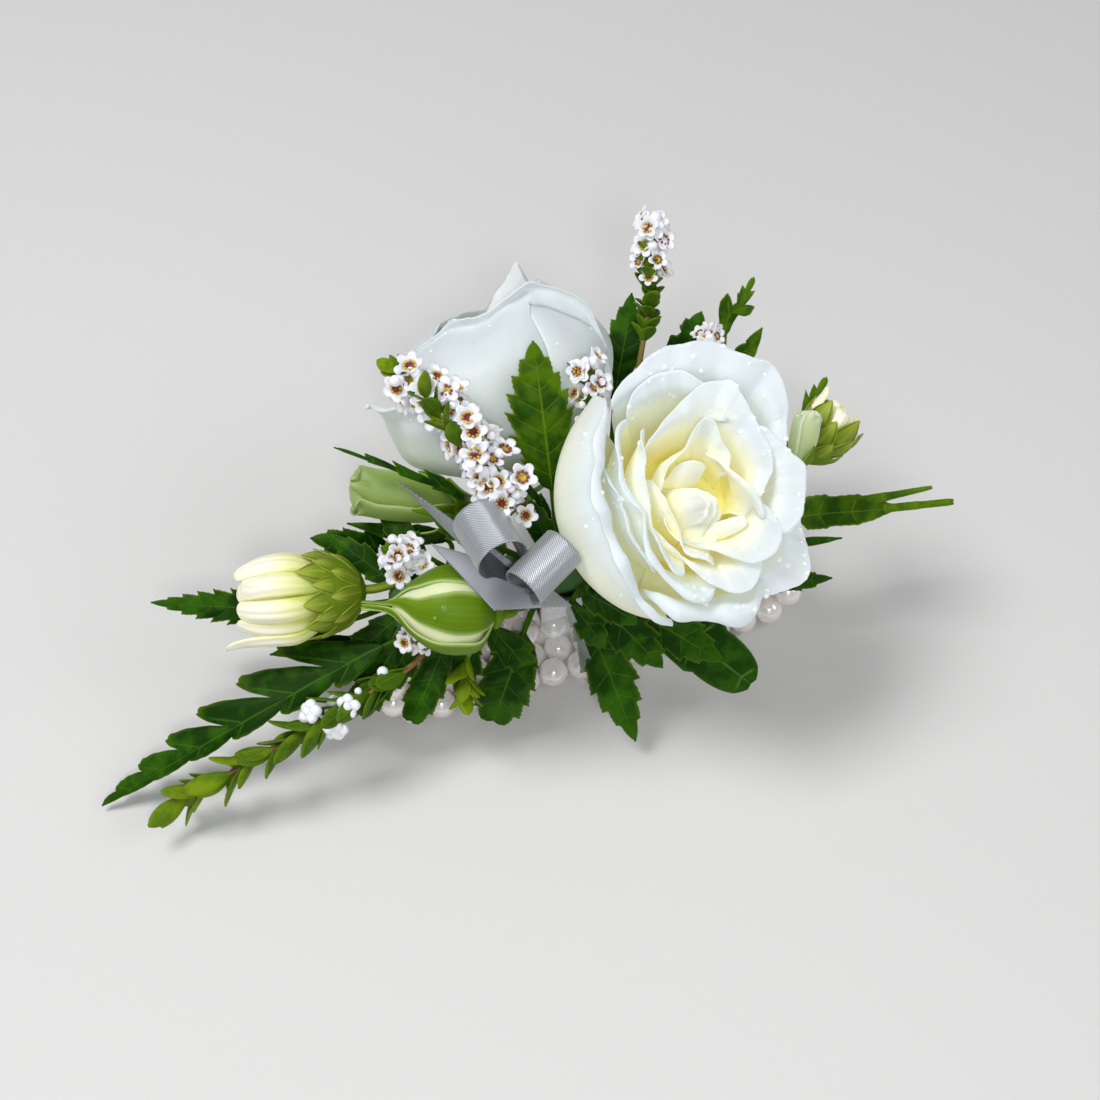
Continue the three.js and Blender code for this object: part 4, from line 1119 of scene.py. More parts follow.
@dataclass
class ForkedLeaf(Leaf):
    """A leaf whose end is split into two long prongs."""

    prong: Leaf = field(default_factory=lambda: Leaf(
        "prong", (60, 9.2, -1.6), (75.6, 12.4, 3), 1.5, teeth=2, depth=0.1, shape=Outline.TAPER, arch=0.4,
        fold=0.0, warmth=0.4,
    ))

    def add_to(self, shape: Shape) -> None:
        """Add the body and the second prong."""
        super().add_to(shape)
        self.prong.add_to(shape)


@dataclass
class LeafBed:
    """Small dark leaves low among the others, which close the view down to the bundle."""

    leaves: tuple[Leaf, ...]

    def build(self) -> None:
        """Make all of them as one piece."""
        shape = Shape()
        for leaf in self.leaves:
            leaf.add_to(shape)
        finish_piece("leaf_bed", shape, DARK_LEAF, "leaf", [])


FRESH = {"finish": BRIGHT_LEAF, "slot": "fresh_leaf"}
LEAVES = (
    Leaf("leaf_upright", (0.4, 11.3, 22), (-3.1, 38.2, 33), 8.6, -6, right_half=7.4, teeth=7,
         face=(0.1, -0.3, 1), **FRESH),
    Leaf("frond_left", (-31.8, -18.3, 15), (-87.4, -49.9, 9), 6.5, -37, right_half=19, teeth=7, depth=0.5,
         right_depth=0.8, sweep=54, shape=Outline.FROND, edge=Edge.FINGERS, crowding=1.3,
         face=(-0.1, 0.2, 1), arch=2, serration=0.07, webbing=0.55),
    Leaf("leaf_far_left", (-48.9, -12, 4), (-78, -10.3, 8), 5.6, -39, teeth=8, depth=0.3, sweep=48,
         shape=Outline.LANCE, arch=1, warmth=0.15),
    Leaf("leaf_back_left", (-32, 0, 4), (-46.8, 2.3, 8), 4, -36, teeth=4),
    Leaf("leaf_below_left", (-38, -17.6, 4), (-54.7, -20.5, 8), 2.6, -38, teeth=2, depth=0.1),
    Leaf("frond_spiky", (-16.3, 9, 18), (-40.4, 19.2, 24), 2.4, -22, right_half=6, teeth=4, depth=0.7,
         sweep=62, shape=Outline.FROND, face=(0.1, 0.5, 1)),
    Leaf("leaf_blade_left", (-20, 1.8, 9), (-39.8, 5.2, 6), 2.4, -27, teeth=3, depth=0.15,
         shape=Outline.LANCE),
    Leaf("leaf_front_middle", (-5, -16, 11.4), (-11.2, -33.7, 3), 7.2, -13, shape=Outline.BROAD, depth=0.2,
         face=(0, -0.3, 1)),
    Leaf("leaf_front_left", (-19.5, -17.5, 12), (-27, -33, 11), 4.6, -24, teeth=4, shape=Outline.BROAD,
         depth=0.2, face=(-0.1, -0.3, 1)),
    Leaf("leaf_front_outer", (-29.5, -18.8, 13), (-37.5, -31.5, 9), 5, -32, teeth=4, shape=Outline.BROAD,
         depth=0.2, face=(-0.2, -0.3, 1)),
    Leaf("leaf_front_right", (6.8, -10.8, 11), (16.9, -37.7, 4), 6.6, 2, teeth=6, face=(0, -0.3, 1),
         warmth=0.3),
    Leaf("leaf_veined", (20.5, -11, 6), (39.8, -26.5, 2), 6.8, 17, teeth=2, depth=0.16, sweep=20,
         shape=Outline.BROAD, face=(0, -0.2, 1), finish=IVY_LEAF, serration=0.0),
    Leaf("leaf_right", (42, -6, -1), (56.1, -5.6, 1), 2.8, 34, teeth=4, face=(0, -0.3, 1)),
    Leaf("leaf_upper_right", (25, 35.1, 3), (29.8, 46.8, 6), 4.4, 24, teeth=4, arch=0.5),
    Leaf("frond_tip_right", (34.6, 42.4, 3), (40, 53.4, 7), 5.2, 30, teeth=4, depth=0.62, sweep=50,
         shape=Outline.FROND, arch=0.5, **FRESH),
    Leaf("leaf_small_right", (37, 36, 2), (41.7, 43.6, 6), 1.9, 33, teeth=2, depth=0.1, arch=0.5, **FRESH),
    Leaf("leaf_tiny_right", (46, 1, -7), (58.8, 2.4, -4), 1.2, 34, teeth=1, arch=0.5),
    Leaf("leaf_back", (13, 29.7, -1), (16.2, 50.8, 3), 5.2, 6, teeth=6),
    Leaf("leaf_lobed_right", (49.5, 25, 6), (54, 33.6, 9), 4.8, 37, teeth=3, depth=0.6, sweep=50,
         shape=Outline.FROND, arch=0.5, warmth=0.4, **FRESH),
    ForkedLeaf("leaf_forked", (50, 6.5, -4), (79.8, 9.5, 3), 4.6, 38, right_half=3.6, depth=0.12, sweep=25,
               shape=Outline.FORK, arch=0.6, warmth=0.1, finish=BRIGHT_LEAF),
)


# Ripple number, start, tip, half width, root, teeth, face and warmth of each small leaf.
BED_ROWS = (
    (5, (-29, -13, 11), (-42, -23, 10), 4.2, -34, 4, (-0.1, -0.2, 1), 0),
    (6, (-25, -14, 12), (-33, -29, 8), 4.6, -30, 4, (-0.1, -0.3, 1), 0.2),
    (7, (-21, -14, 10), (-22, -28, 6), 4.2, -25, 4, (0, -0.3, 1), 0),
    (8, (-15, -15, 12), (-18, -29, 7), 4.4, -19, 4, (0, -0.3, 1), 0),
    (5, (-11, -14, 12), (-3, -25, 8), 4.6, -15, 4, (0, -0.3, 1), 0),
    (6, (9.5, -9.5, 13), (22, -23, 8), 6.0, 6, 5, (0, -0.2, 1), 0),
    (7, (15, -10, 10), (34, -22, 5), 6.2, 12, 5, (0, -0.2, 1), 0.1),
    (8, (4.5, -9.5, 16), (10.5, -19, 13), 4.0, 0, 4, (0, -0.2, 1), 0),
    (5, (-30, -6, 14), (-43, 3, 12), 3.6, -33, 4, (0, 0, 1), 0),
    (6, (-24, -1, 13), (-33, 7, 12), 3.6, -28, 4, (0, 0, 1), 0),
    (7, (0, 6, 18), (-9, 13, 20), 3.6, -4, 4, (0, 0, 1), 0),
    (8, (-13, 2, 18), (-22, 6, 20), 3.4, -14, 4, (0, 0, 1), 0),
    (5, (6, 12, 17), (4, 24, 20), 3.8, 2, 4, (0, 0, 1), 0),
    (6, (-40, -14, 12), (-52, -15, 12), 3.2, -39, 4, (0, 0, 1), 0),
    (5, (1, -2, 22), (-4, 9.5, 27), 3.4, -3, 4, (0, 0, 1), -0.3),
    (6, (6, 2, 19), (3, 13, 22), 3.0, 3, 4, (0, 0, 1), -0.3),
    (7, (7, -7.5, 20), (16.5, -14, 19), 4.0, 4, 4, (0, 0, 1), -0.4),
)
LEAF_BED = LeafBed(tuple(
    Leaf("bed_leaf", start, tip, half, root, face=face, teeth=teeth, warmth=warmth, ripple=ripple)
    for ripple, start, tip, half, root, teeth, face, warmth in BED_ROWS
))


# ------------------------------------------------------------------ roses
# Size and length of the waves along a rim.
RIM_WAVES = ((0.20, 10.0), (0.08, 4.7), (0.03, 2.1))
PETAL_ROOT, PETAL_EDGE = 0.6, 0.26
CALYX_HIP = ((0.9, -7.2), (2.3, -5.2), (2.9, -3.4), (2.5, -1.2), (2.2, -0.2))
CALYX_SEPAL = ((1.2, -1.3, 1.2), (6.5, -1.2, 1.9), (10.5, 0.6, 1.1), (13.5, 3.2, 0.25))
DROP_PROFILE = ((0.8, -0.1), (1.0, 0.16), (0.82, 0.44), (0.45, 0.64))
ROSE_STEM = 1.3
BUD_STEM = 0.95


@dataclass(frozen=True)
class RosePetal:
    """One petal: a cup that rises to a rim given by points round the rose's axis.

    The rim is a list of radius and azimuth in degrees. The heights are spread evenly along it, and so are
    the bellies where there are several. The belly is the cup's radius below its shoulder, whose height is
    a share of the petal's. The lip rolls outwards from the rim by an angle.
    """

    rim: tuple[tuple[float, float], ...]
    heights: tuple[float, ...]
    belly: float | tuple[float, ...]
    lip: float = 0.5
    curl: float = 40.0
    shoulder: float = 0.86
    foot: float = 2.0
    green: float = 0.0
    warm: float = 0.5

    def grid(self, heart: Array, seed: float) -> tuple[Array, Array]:
        """The petal's middle surface.

        Each column is a smooth curve in a plane through the axis: it leaves the foot, swells to the belly,
        bends at the shoulder and comes to the rim, and an arc of the lip's radius goes on from it. Towards
        the petal's sides the columns stop sooner, so that its corners are round. The foot stands under the
        heart. The rim is moved by a few sine waves of its own length, as a petal's edge is.

        Args:
            heart: the heart's place across the rose.
            seed: a phase for the small waves along the rim.

        Returns:
            Points by row and column, and the share of the way up for each row.
        """
        columns, rows, roll = 65, 28, 9
        c = np.linspace(0, 1, columns)
        s = 2 * c - 1
        rim = np.array(self.rim)
        azimuth = np.unwrap(np.radians(rim[:, 1]))
        radius, angle = spline(np.stack([rim[:, 0], azimuth], axis=-1), c).T
        height = np.interp(c, np.linspace(0, 1, len(self.heights)), self.heights)
        step = np.hypot(np.diff(radius), np.diff(angle) * radius[1:])
        run = np.concatenate([[0.0], np.cumsum(step)])
        radius, height = (
            line + sum(
                size * wave(math.tau * run / length + pace * seed * k)
                for k, (size, length) in enumerate(RIM_WAVES, 1)
            )
            for line, wave, pace in ((radius, np.sin, 3.1), (height, np.cos, 1.7))
        )
        t = np.linspace(0, 1, rows)[:, None] * (1 - 0.16 * np.abs(s) ** 6)[None]
        tall, whole = height - self.foot, np.ones(columns)
        bellies = np.atleast_1d(self.belly)
        belly = np.interp(c, np.linspace(0, 1, len(bellies)), bellies)
        bend = belly + (radius - belly) * 0.4
        radii = np.stack([2.0 * whole, 0.78 * belly, belly, bend, radius])
        rises = np.array([0.0, 0.22, 0.62, self.shoulder, 1.0])[:, None] * tall + self.foot
        r, z = (columns_spline(controls, t) for controls in (radii, rises))
        along = unit(np.stack([r[-1] - r[-2], z[-1] - z[-2]], axis=-1))
        aside = np.stack([along[:, 1], -along[:, 0]], axis=-1)
        turn = np.radians(self.curl) * np.linspace(0, 1, roll + 1)[1:, None]
        size = self.lip * (1 - 0.8 * np.abs(s) ** 3) * (1 + 0.25 * np.sin(math.tau * run / 11 + seed))
        r_lip = r[-1] + size * (np.sin(turn) * along[:, 0] + (1 - np.cos(turn)) * aside[:, 0])
        z_lip = z[-1] + size * (np.sin(turn) * along[:, 1] + (1 - np.cos(turn)) * aside[:, 1])
        r, z = np.vstack([r, r_lip]), np.vstack([z, z_lip])
        share = np.concatenate([np.linspace(0, 1, rows), np.ones(roll)])
        grid = polar(r, angle[None], z)
        grid[..., :2] += heart * (1 - smooth(share, 0.0, 0.85))[:, None, None]
        return grid, share


@dataclass(frozen=True)
class HeartShell:
    """A small petal of the heart that leans over the middle: a patch from its foot line to its rim.

    Both lines are points as across, up and height, and the patch swells between them.
    """

    foot: tuple[Triple, ...]
    rim: tuple[Triple, ...]
    swell: float
    scallop: float = 0.0

    def grid(self) -> tuple[Array, Array]:
        """Rows blend the foot line into the rim line, plus half a sine upwards, with lobes at the rim."""
        c, share = np.linspace(0, 1, 31), np.linspace(0, 1, 18)
        foot, rim = spline(self.foot, c), spline(self.rim, c)
        rim = rim + unit(rim - foot) * (self.scallop * np.abs(np.sin(3 * math.pi * c)) ** 0.6)[:, None]
        s = (2 * c - 1)[None, :, None]
        t = share[:, None, None] * (1 - 0.12 * np.abs(s) ** 5)
        rise = self.swell * np.sin(math.pi * np.minimum(t, 0.94) ** 0.8) * (1 - 0.5 * s**2)
        return lerp(foot, rim, t) + rise * vec(0, 0, 1), share


@dataclass
class Rose:
    """A bloom of petals with its calyx and stem."""

    name: str
    base: Triple
    axis: Triple
    reference: Triple
    root: float
    turn: float
    heart: tuple[float, float]
    petals: tuple[RosePetal, ...]
    warm_from: float
    warm_to: float
    deep_from: float
    dew: int
    dew_seed: int
    core: tuple[tuple[float, float], ...]
    shells: tuple[HeartShell, ...] = ()
    finish: PetalFinish = ROSE_WHITE

    def place(self) -> Place:
        """Where the rose stands."""
        return standing(self.base, self.axis, self.reference)

    def build(self) -> None:
        """Make the petals, the dew on them and the calyx."""
        bloom, place, heart = Shape(), self.place(), np.array(self.heart)
        grids: list[Array] = []
        for k, petal in enumerate(self.petals):
            grid, share = petal.grid(heart, 1.7 * k)
            away = np.linalg.norm(grid[..., :2] - heart, axis=-1)
            below = 1 - smooth(share, 0.6, 1.0)[:, None]
            warm = 0.5 * (1 - smooth(away, self.warm_to, self.warm_from)) + petal.warm * below
            low = 1 - smooth(grid[..., 2], self.deep_from, self.deep_from + 8)
            warm = warm + 0.5 * low * (1 - 0.8 * smooth(away, 8.0, 14.0))
            green = petal.green * (1 - smooth(share, 0.3, 0.92))[:, None]
            across = np.linspace(-1, 1, grid.shape[1])[None]
            thickness = lerp(PETAL_ROOT, PETAL_EDGE, share)[:, None] * np.ones_like(away)
            grids.append(place.apply(grid))
            pattern, tint = stack(across, share[:, None], 0.5), stack(np.clip(warm, 0, 1), green, 0.0)
            bloom.sheet(grids[-1], thickness, pattern, tint)
        for shell in self.shells:
            grid, share = shell.grid()
            warm = 0.32 + 0.5 * (1 - smooth(share, 0.0, 0.7))[:, None]
            bloom.sheet(place.apply(grid), 0.3, NO_PATTERN, stack(warm, 0.0, 0.0 * grid[..., 0]))
        under_heart = Place(place.apply(vec(*heart, 0)), place.axes)
        bloom.lathe(self.core, under_heart, 32, 20, tint=(1.0, 0, 0))
        finish_piece(f"{self.name}_petals", bloom, self.finish, "rose_petal", [f"{self.name}_bloom"])
        self.build_dew(grids)
        self.build_calyx(place)

    def build_dew(self, petals: list[Array]) -> None:
        """Scatter small domes of water near the rims of the petals, by seeded draws.

        Args:
            petals: the grids of the petals, outermost first.
        """
        draw, dew = Draw(self.dew_seed), Shape()
        for _ in range(self.dew):
            grid = petals[int(draw() ** 1.6 * len(petals) * 0.8)]
            rows, columns = grid.shape[:2]
            i = int(lerp(0.5 * rows, rows - 4, draw()))
            j = int(lerp(3, columns - 4, draw()))
            normal = unit(np.cross(grid[i, j + 1] - grid[i, j], grid[i + 1, j] - grid[i, j]))
            out = grid[i, j] - petals[0].mean(axis=(0, 1))
            normal = normal if normal @ vec(0, 0, 1) + 0.01 * (normal @ out) > 0 else -normal
            add_drop(dew, grid[i, j] + normal * 0.12, normal, lerp(0.24, 0.55, draw() ** 2.5))
        finish_piece(f"{self.name}_dew", dew, DEW, "rose_petal", [])

    def build_calyx(self, place: Place) -> None:
        """The hip under the bloom, five sepals turned back, and the stem down to the bundle."""
        green = Shape()
        green.lathe(CALYX_HIP, place, 24, 16)
        for k in range(5):
            green_blade(green, place, CALYX_SEPAL, math.tau * k / 5 + self.turn, 18, 9)
        neck, below = place.apply(vec(0, 0, -6.5)), place.apply(vec(0, 0, -8))
        path = spline([neck, below, bundle_edge(self.root, below)], np.linspace(0, 1, 16))
        green.tube(path, ROSE_STEM, 12)
        finish_piece(f"{self.name}_green", green, SEPAL_GREEN, "calyx", [f"{self.name}_calyx"])


def add_drop(shape: Shape, at: Array, normal: Array, radius: float) -> None:
    """Add a drop of water: a low dome, flat underneath.

    Args:
        shape: where the drop goes.
        at: the point that it sits on.
        normal: the way that it faces.
        radius: its radius.
    """
    a, b = ring_axes(normal)
    angle, profile = circle(8)[None, :, None], np.array(DROP_PROFILE)[:, None]
    rim = np.cos(angle) * a + np.sin(angle) * b
    rings = at + radius * (profile[..., :1] * rim + profile[..., 1:] * normal)
    shape.rings(rings, (at - normal * 0.1 * radius, at + normal * 0.7 * radius))


def green_blade(
    shape: Shape, place: Place, rows: Sequence[Triple], angle: float, steps: int, columns: int
) -> None:
    """Add a sepal that spreads from the axis: a strip whose middle runs through radii and heights.

    Args:
        shape: where the sepal goes.
        place: where its flower stands.
        rows: radius, height and half width, from its root to its tip.
        angle: its azimuth in radians.
        steps: rows of points.
        columns: points in a row.
    """
    radius, height, half = spline(rows, np.linspace(0, 1, steps)).T[..., None]
    s = np.linspace(-1, 1, columns)[None]
    x = radius * math.cos(angle) - s * half * math.sin(angle)
    y = radius * math.sin(angle) + s * half * math.cos(angle)
    grid = place.apply(stack(x, y, height - 0.15 * half * s**2))
    share = np.linspace(0, 1, steps)[:, None]
    shape.sheet(grid, 0.45, stack(s, share, 0.5), stack(0.0 * share, smooth(np.abs(s), 0.8, 1.0) * 0.5, 0.0))


ROSE_FRONT = Rose(
    name="rose_front", base=(20.6, 10.8, 9), axis=(0.14, 0.02, 0.99), reference=(0, 1, 0), root=14, turn=0.3,
    heart=(1.9, -3.2), warm_from=16, warm_to=3, deep_from=16, dew=170, dew_seed=41,
    core=((2, 1), (6, 5), (9.5, 12), (9.5, 18), (7, 21.5), (3, 23), (0.2, 23.2)),
    petals=(
        RosePetal(((21.5, 133), (23.9, 108), (26, 88), (26.1, 64), (27, 51), (22.3, 32), (20.3, 18)),
                  (28, 29.5, 28), 17.5, 0.6, 60, 0.95, warm=0.15),
        RosePetal(((21.7, 9), (23.2, 344), (25.8, 334), (28.5, 326), (26, 313), (27, 305)), (25.5,), 17.5,
                  shoulder=0.96, warm=0.15),
        RosePetal(((20.4, 133), (18.3, 143), (17.2, 160), (16.7, 172), (16.3, 191), (16.4, 207), (17, 221),
                   (19.3, 239), (21, 247), (25.3, 266)), (31, 31, 30, 27), 23.4, 1.9, 150, green=0.32,
                  warm=0.35),
        RosePetal(((19.7, 249), (20.4, 264), (21.9, 279), (22.4, 289), (24, 300), (23, 312)), (28,), 20, 1.9,
                  140, 0.8, green=0.15, warm=0.35),
        RosePetal(((12.5, 76), (16.2, 46), (18.5, 30), (19.6, 19), (21.7, 9), (21.4, 357), (21.2, 340),
                   (19.6, 329)), (31,), 13, shoulder=0.95, foot=6, warm=0.3),
        RosePetal(((17.4, 131), (20, 117), (20.2, 104), (20.6, 92), (19.2, 84), (18, 76)), (30.5,), 15.5,
                  0.8, shoulder=0.92, foot=6, warm=0.3),
        RosePetal(((8, 225), (12.6, 263), (15.7, 277), (18.8, 287), (21.3, 299), (21, 310), (20, 320)),
                  (31, 30), 12.5, shoulder=0.95, foot=6),
        RosePetal(((17.4, 131), (13.8, 155), (10.4, 192), (10.2, 218), (15.7, 252), (18, 267), (20.3, 278),
                   (20.4, 288)), (31.5,), 14.5, 1.0, 120, 0.8, foot=6, warm=0.7),
        RosePetal(((16, 165), (12.8, 185), (12.6, 201), (14.3, 234), (17, 250)), (31,), 15, 0.8, 90, 0.8, 6,
                  warm=0.7),
        RosePetal(((14.5, 349), (17, 341), (19.1, 329), (18.7, 314), (13.1, 296), (9.8, 265)), (31.5,), 10,
                  shoulder=0.95, foot=10, warm=0.5),
        RosePetal(((10.5, 142), (13.2, 106), (17.6, 86), (19.6, 73), (20.6, 66), (18.5, 57), (16.9, 45),
                   (16.5, 30), (15.8, 16), (14.7, 1), (14.5, 349)), (31.5,), 10, 0.5, 40, 0.94, 10),
        RosePetal(((13.9, 128), (9.6, 148), (7.8, 188), (9.1, 215), (11.2, 240), (14.1, 254), (18, 268)),
                  (32,), 11.5, 0.7, 80, 0.85, 10, warm=0.7),
        RosePetal(((5, 170), (5.1, 213), (7.6, 253), (11.1, 266), (13.6, 284), (16.3, 290)), (32, 31.5), 9,
                  0.6, 80, 0.85, 12, warm=0.7),
        RosePetal(((5.9, 60), (7.5, 18), (10.2, 358), (13.6, 342), (15.5, 333)), (32.5, 31.5), 8.5, 1.0, 90,
                  0.8, 12),
        RosePetal(((3.6, 187), (6, 105), (9.6, 87), (12.4, 75), (10.3, 56), (9.3, 39), (7.8, 17)),
                  (32, 32.5, 32), 6.5, 0.4, 40, 0.75, 16),
        RosePetal(((4.6, 190), (6.4, 225), (9.4, 255), (11.0, 282), (11.6, 305)), (30.5, 31), 7.5, 0.4, 40,
                  0.8, 14, warm=0.7),
    ),
    shells=(
        HeartShell(((-4.2, 0.2, 26), (-1.5, -0.6, 27), (1.6, -0.6, 26)),
                   ((-1.9, 4.2, 30.6), (0.8, 4.6, 31.2), (3.5, 4.0, 30.8)), 0.8),
        HeartShell(((-4.6, 0.0, 24), (-4.8, -4.4, 25), (-2.4, -9.0, 24)),
                   ((3.0, -0.2, 28.4), (5.9, -4.6, 28.6), (3.8, -9.4, 28)), 3.0, 0.5),
        HeartShell(((-4.4, -0.4, 24), (-4.4, -4.4, 26), (-2.6, -8.4, 24)),
                   ((1.9, -0.2, 29.6), (5.0, -2.4, 29.8), (4.4, -6.6, 29.4)), 3.2, 0.4),
        HeartShell(((-4.0, -0.9, 25), (-4.0, -4.4, 27), (-2.8, -7.6, 25)),
                   ((1.0, -0.6, 30.6), (3.4, -2.8, 30.9), (2.6, -6.6, 30.4)), 3.0, 0.4),
        HeartShell(((-1.2, -8.6, 26), (0.9, -9.8, 26.4), (3.2, -11.0, 26)),
                   ((9.8, -5.0, 30.6), (10.7, -6.2, 30.8), (10.6, -7.4, 30.4)), 0.9),
    ),
)
ROSE_BACK = Rose(
    name="rose_back", base=(-11, 12, 5.5), axis=(-0.05, 0.99, 0.1), reference=(0, 0, 1), root=-16, turn=0.9,
    heart=(0, 0), warm_from=12, warm_to=3, deep_from=2, dew=80, dew_seed=17,
    core=((2, 1), (7, 5), (8, 14), (5, 22), (2, 27), (0.2, 28)), finish=ROSE_IN_SHADE,
    petals=(
        RosePetal(((19, -28), (22, 0), (23.5, 24), (22.5, 45), (18, 68)), (15, 17, 18, 17, 15), 19.5, 0.9,
                  110, green=0.35, warm=0.1),
        RosePetal(((21, 116), (22.5, 140), (23, 166), (22, 190), (20, 212)), (24, 27, 27, 25), 22.5, 0.9, 80,
                  green=0.35, warm=0.1),
        RosePetal(((11, -86), (9, -58), (9, -30), (9, 0), (10, 24)), (30, 33, 33, 31), 18.5, green=0.3,
                  warm=0.1),
        RosePetal(((14, 204), (13, 236), (13, 265), (12, 292), (12, 322)), (33, 35, 35, 32), 20, green=0.3,
                  warm=0.1),
        RosePetal(((13, 120), (11.5, 150), (11, 180), (12, 215), (14, 245)), (36, 39.2, 40.2, 39.8, 37),
                  24.5, 0.5, 60, green=0.25, warm=0.1),
        RosePetal(((13.5, 30), (12.4, 54), (12.5, 82), (12.7, 112), (13.5, 130), (17, 143), (21, 153),
                   (24.3, 160)), (29, 31, 31.5, 35.4, 38, 37, 34, 28), (19.5, 20, 21, 25.2), 1.1, 150,
                  green=0.3, warm=0.1),
        RosePetal(((7, 85), (6.3, 103), (6.9, 130), (7.7, 153), (8.8, 167), (10, 185)),
                  (34, 36.5, 40.3, 44.2, 40, 37), 11, 0.35, 30, warm=0.15),
        RosePetal(((9, -7), (8, 20), (8, 45), (8, 72), (9, 97)), (31, 33, 33, 32), 13, warm=0.3),
        RosePetal(((10, 129), (9, 152), (9, 175), (9, 200), (10, 221)), (35, 36, 36, 35), 13.5, warm=0.3),
        RosePetal(((10, 220), (9, 250), (9, 280), (9, 310), (10, 340)), (34, 35, 35, 33), 13, warm=0.3),
        RosePetal(((5, -2), (5, 30), (5, 60), (5, 90), (5.5, 122)), (32, 33, 33, 32), 8),
        RosePetal(((5.5, 170), (5.5, 210), (5.5, 250), (5.5, 290), (5.5, 330)), (33, 34, 34, 33), 8),
        RosePetal(((3.4, 20), (2.8, 70), (2.6, 120), (2.9, 170), (3.6, 215)), (32, 33, 33, 32), 6),
        RosePetal(((3.2, 190), (2.4, 240), (2.2, 290), (1.6, 350), (1.2, 400)), (31.5, 32.5, 32, 31), 5),
    ),
)


# ------------------------------------------------------------------ buds
def hugging(
    rows: Sequence[Triple], azimuth: float, steps: int, columns: int, crown: float = 0.0,
    groove: float = 0.0, spiral: float = 0.0, twist: float = 0.0, round_tip: float = 0.0,
) -> tuple[Array, Array, Array]:
    """A petal or sepal that hugs a bud.

    Its middle line runs through rows of radius, height and half width. Across it the surface follows the
    bud's round, plus a crown in the middle, less grooves, plus a steady rise to one side.

    Args:
        rows: radius, height and half width, from foot to tip.
        azimuth: its azimuth in radians.
        steps: rows of points.
        columns: points in a row.
        crown: how far the middle stands out.
        groove: how deep its two grooves are.
        spiral: how far one side stands out over the other.
        twist: the turn of the tip, in radians.
        round_tip: the share of its length over which the tip is rounded off.

    Returns:
        Points, the place across from -1 to 1, and the share of the way along, by row and column.
    """
    t = np.linspace(0, 1, steps)
    radius, height, half = spline(rows, t).T[..., None]
    if round_tip:
        half = half * np.sqrt(1 - (np.clip(t - 1 + round_tip, 0, 1) / round_tip) ** 2 * 0.97)[:, None]
    s = np.linspace(-1, 1, columns)[None]
    angle = azimuth + s * half / np.maximum(radius, half / 1.2)
    angle = angle + twist * smooth(t, 0.6, 1.0)[:, None]
    bump = crown * (1 - s**2) - groove * np.cos(3 * math.pi * s) * (1 - s**4) + spiral * s
    grid = polar(radius + bump * np.sin(math.pi * np.clip(t, 0, 0.85))[:, None], angle, height)
    return grid, s * np.ones_like(angle), t[:, None] * np.ones_like(angle)


@dataclass
class Bud:
    """What every bud has: its place, its size and its own stem."""

    name: str
    base: Triple
    axis: Triple
    root: float
    radius: float
    length: float

    def place(self) -> Place:
        """Where the bud stands. Azimuth 0 points down the face for a bud that points to the left."""
        return standing(self.base, self.axis, (0, 0, 1))

    def scaled(self, shares: Sequence[tuple[float, float]]) -> list[tuple[float, float]]:
        """Radii and heights from shares of the bud's radius and length."""
        return [(a * self.radius, b * self.length) for a, b in shares]

    def add_stem(self, shape: Shape) -> None:
        """Add the stem from the bud's foot to the bundle."""
        place = self.place()
        neck, below = place.apply(vec(0, 0, 0.6)), place.apply(vec(0, 0, -2.5))
        path = spline([neck, below, bundle_edge(self.root, below)], np.linspace(0, 1, 16))
        shape.tube(path, BUD_STEM, 10)

    def add_blade(
        self, shape: Shape, blade: tuple[Array, Array, Array], thickness: float, warm: Array, green: Array
    ) -> None:
        """Add one petal or sepal.

        Args:
            shape: where it goes.
            blade: points, place across and share along, as hugging gives them.
            thickness: its thickness.
            warm: the warmth of each point.
            green: the greenness of each point.
        """
        grid, across, along = blade
        tint = stack(warm, green, 0 * across)
        shape.sheet(self.place().apply(grid), thickness, stack(across, along, 0.5), tint)


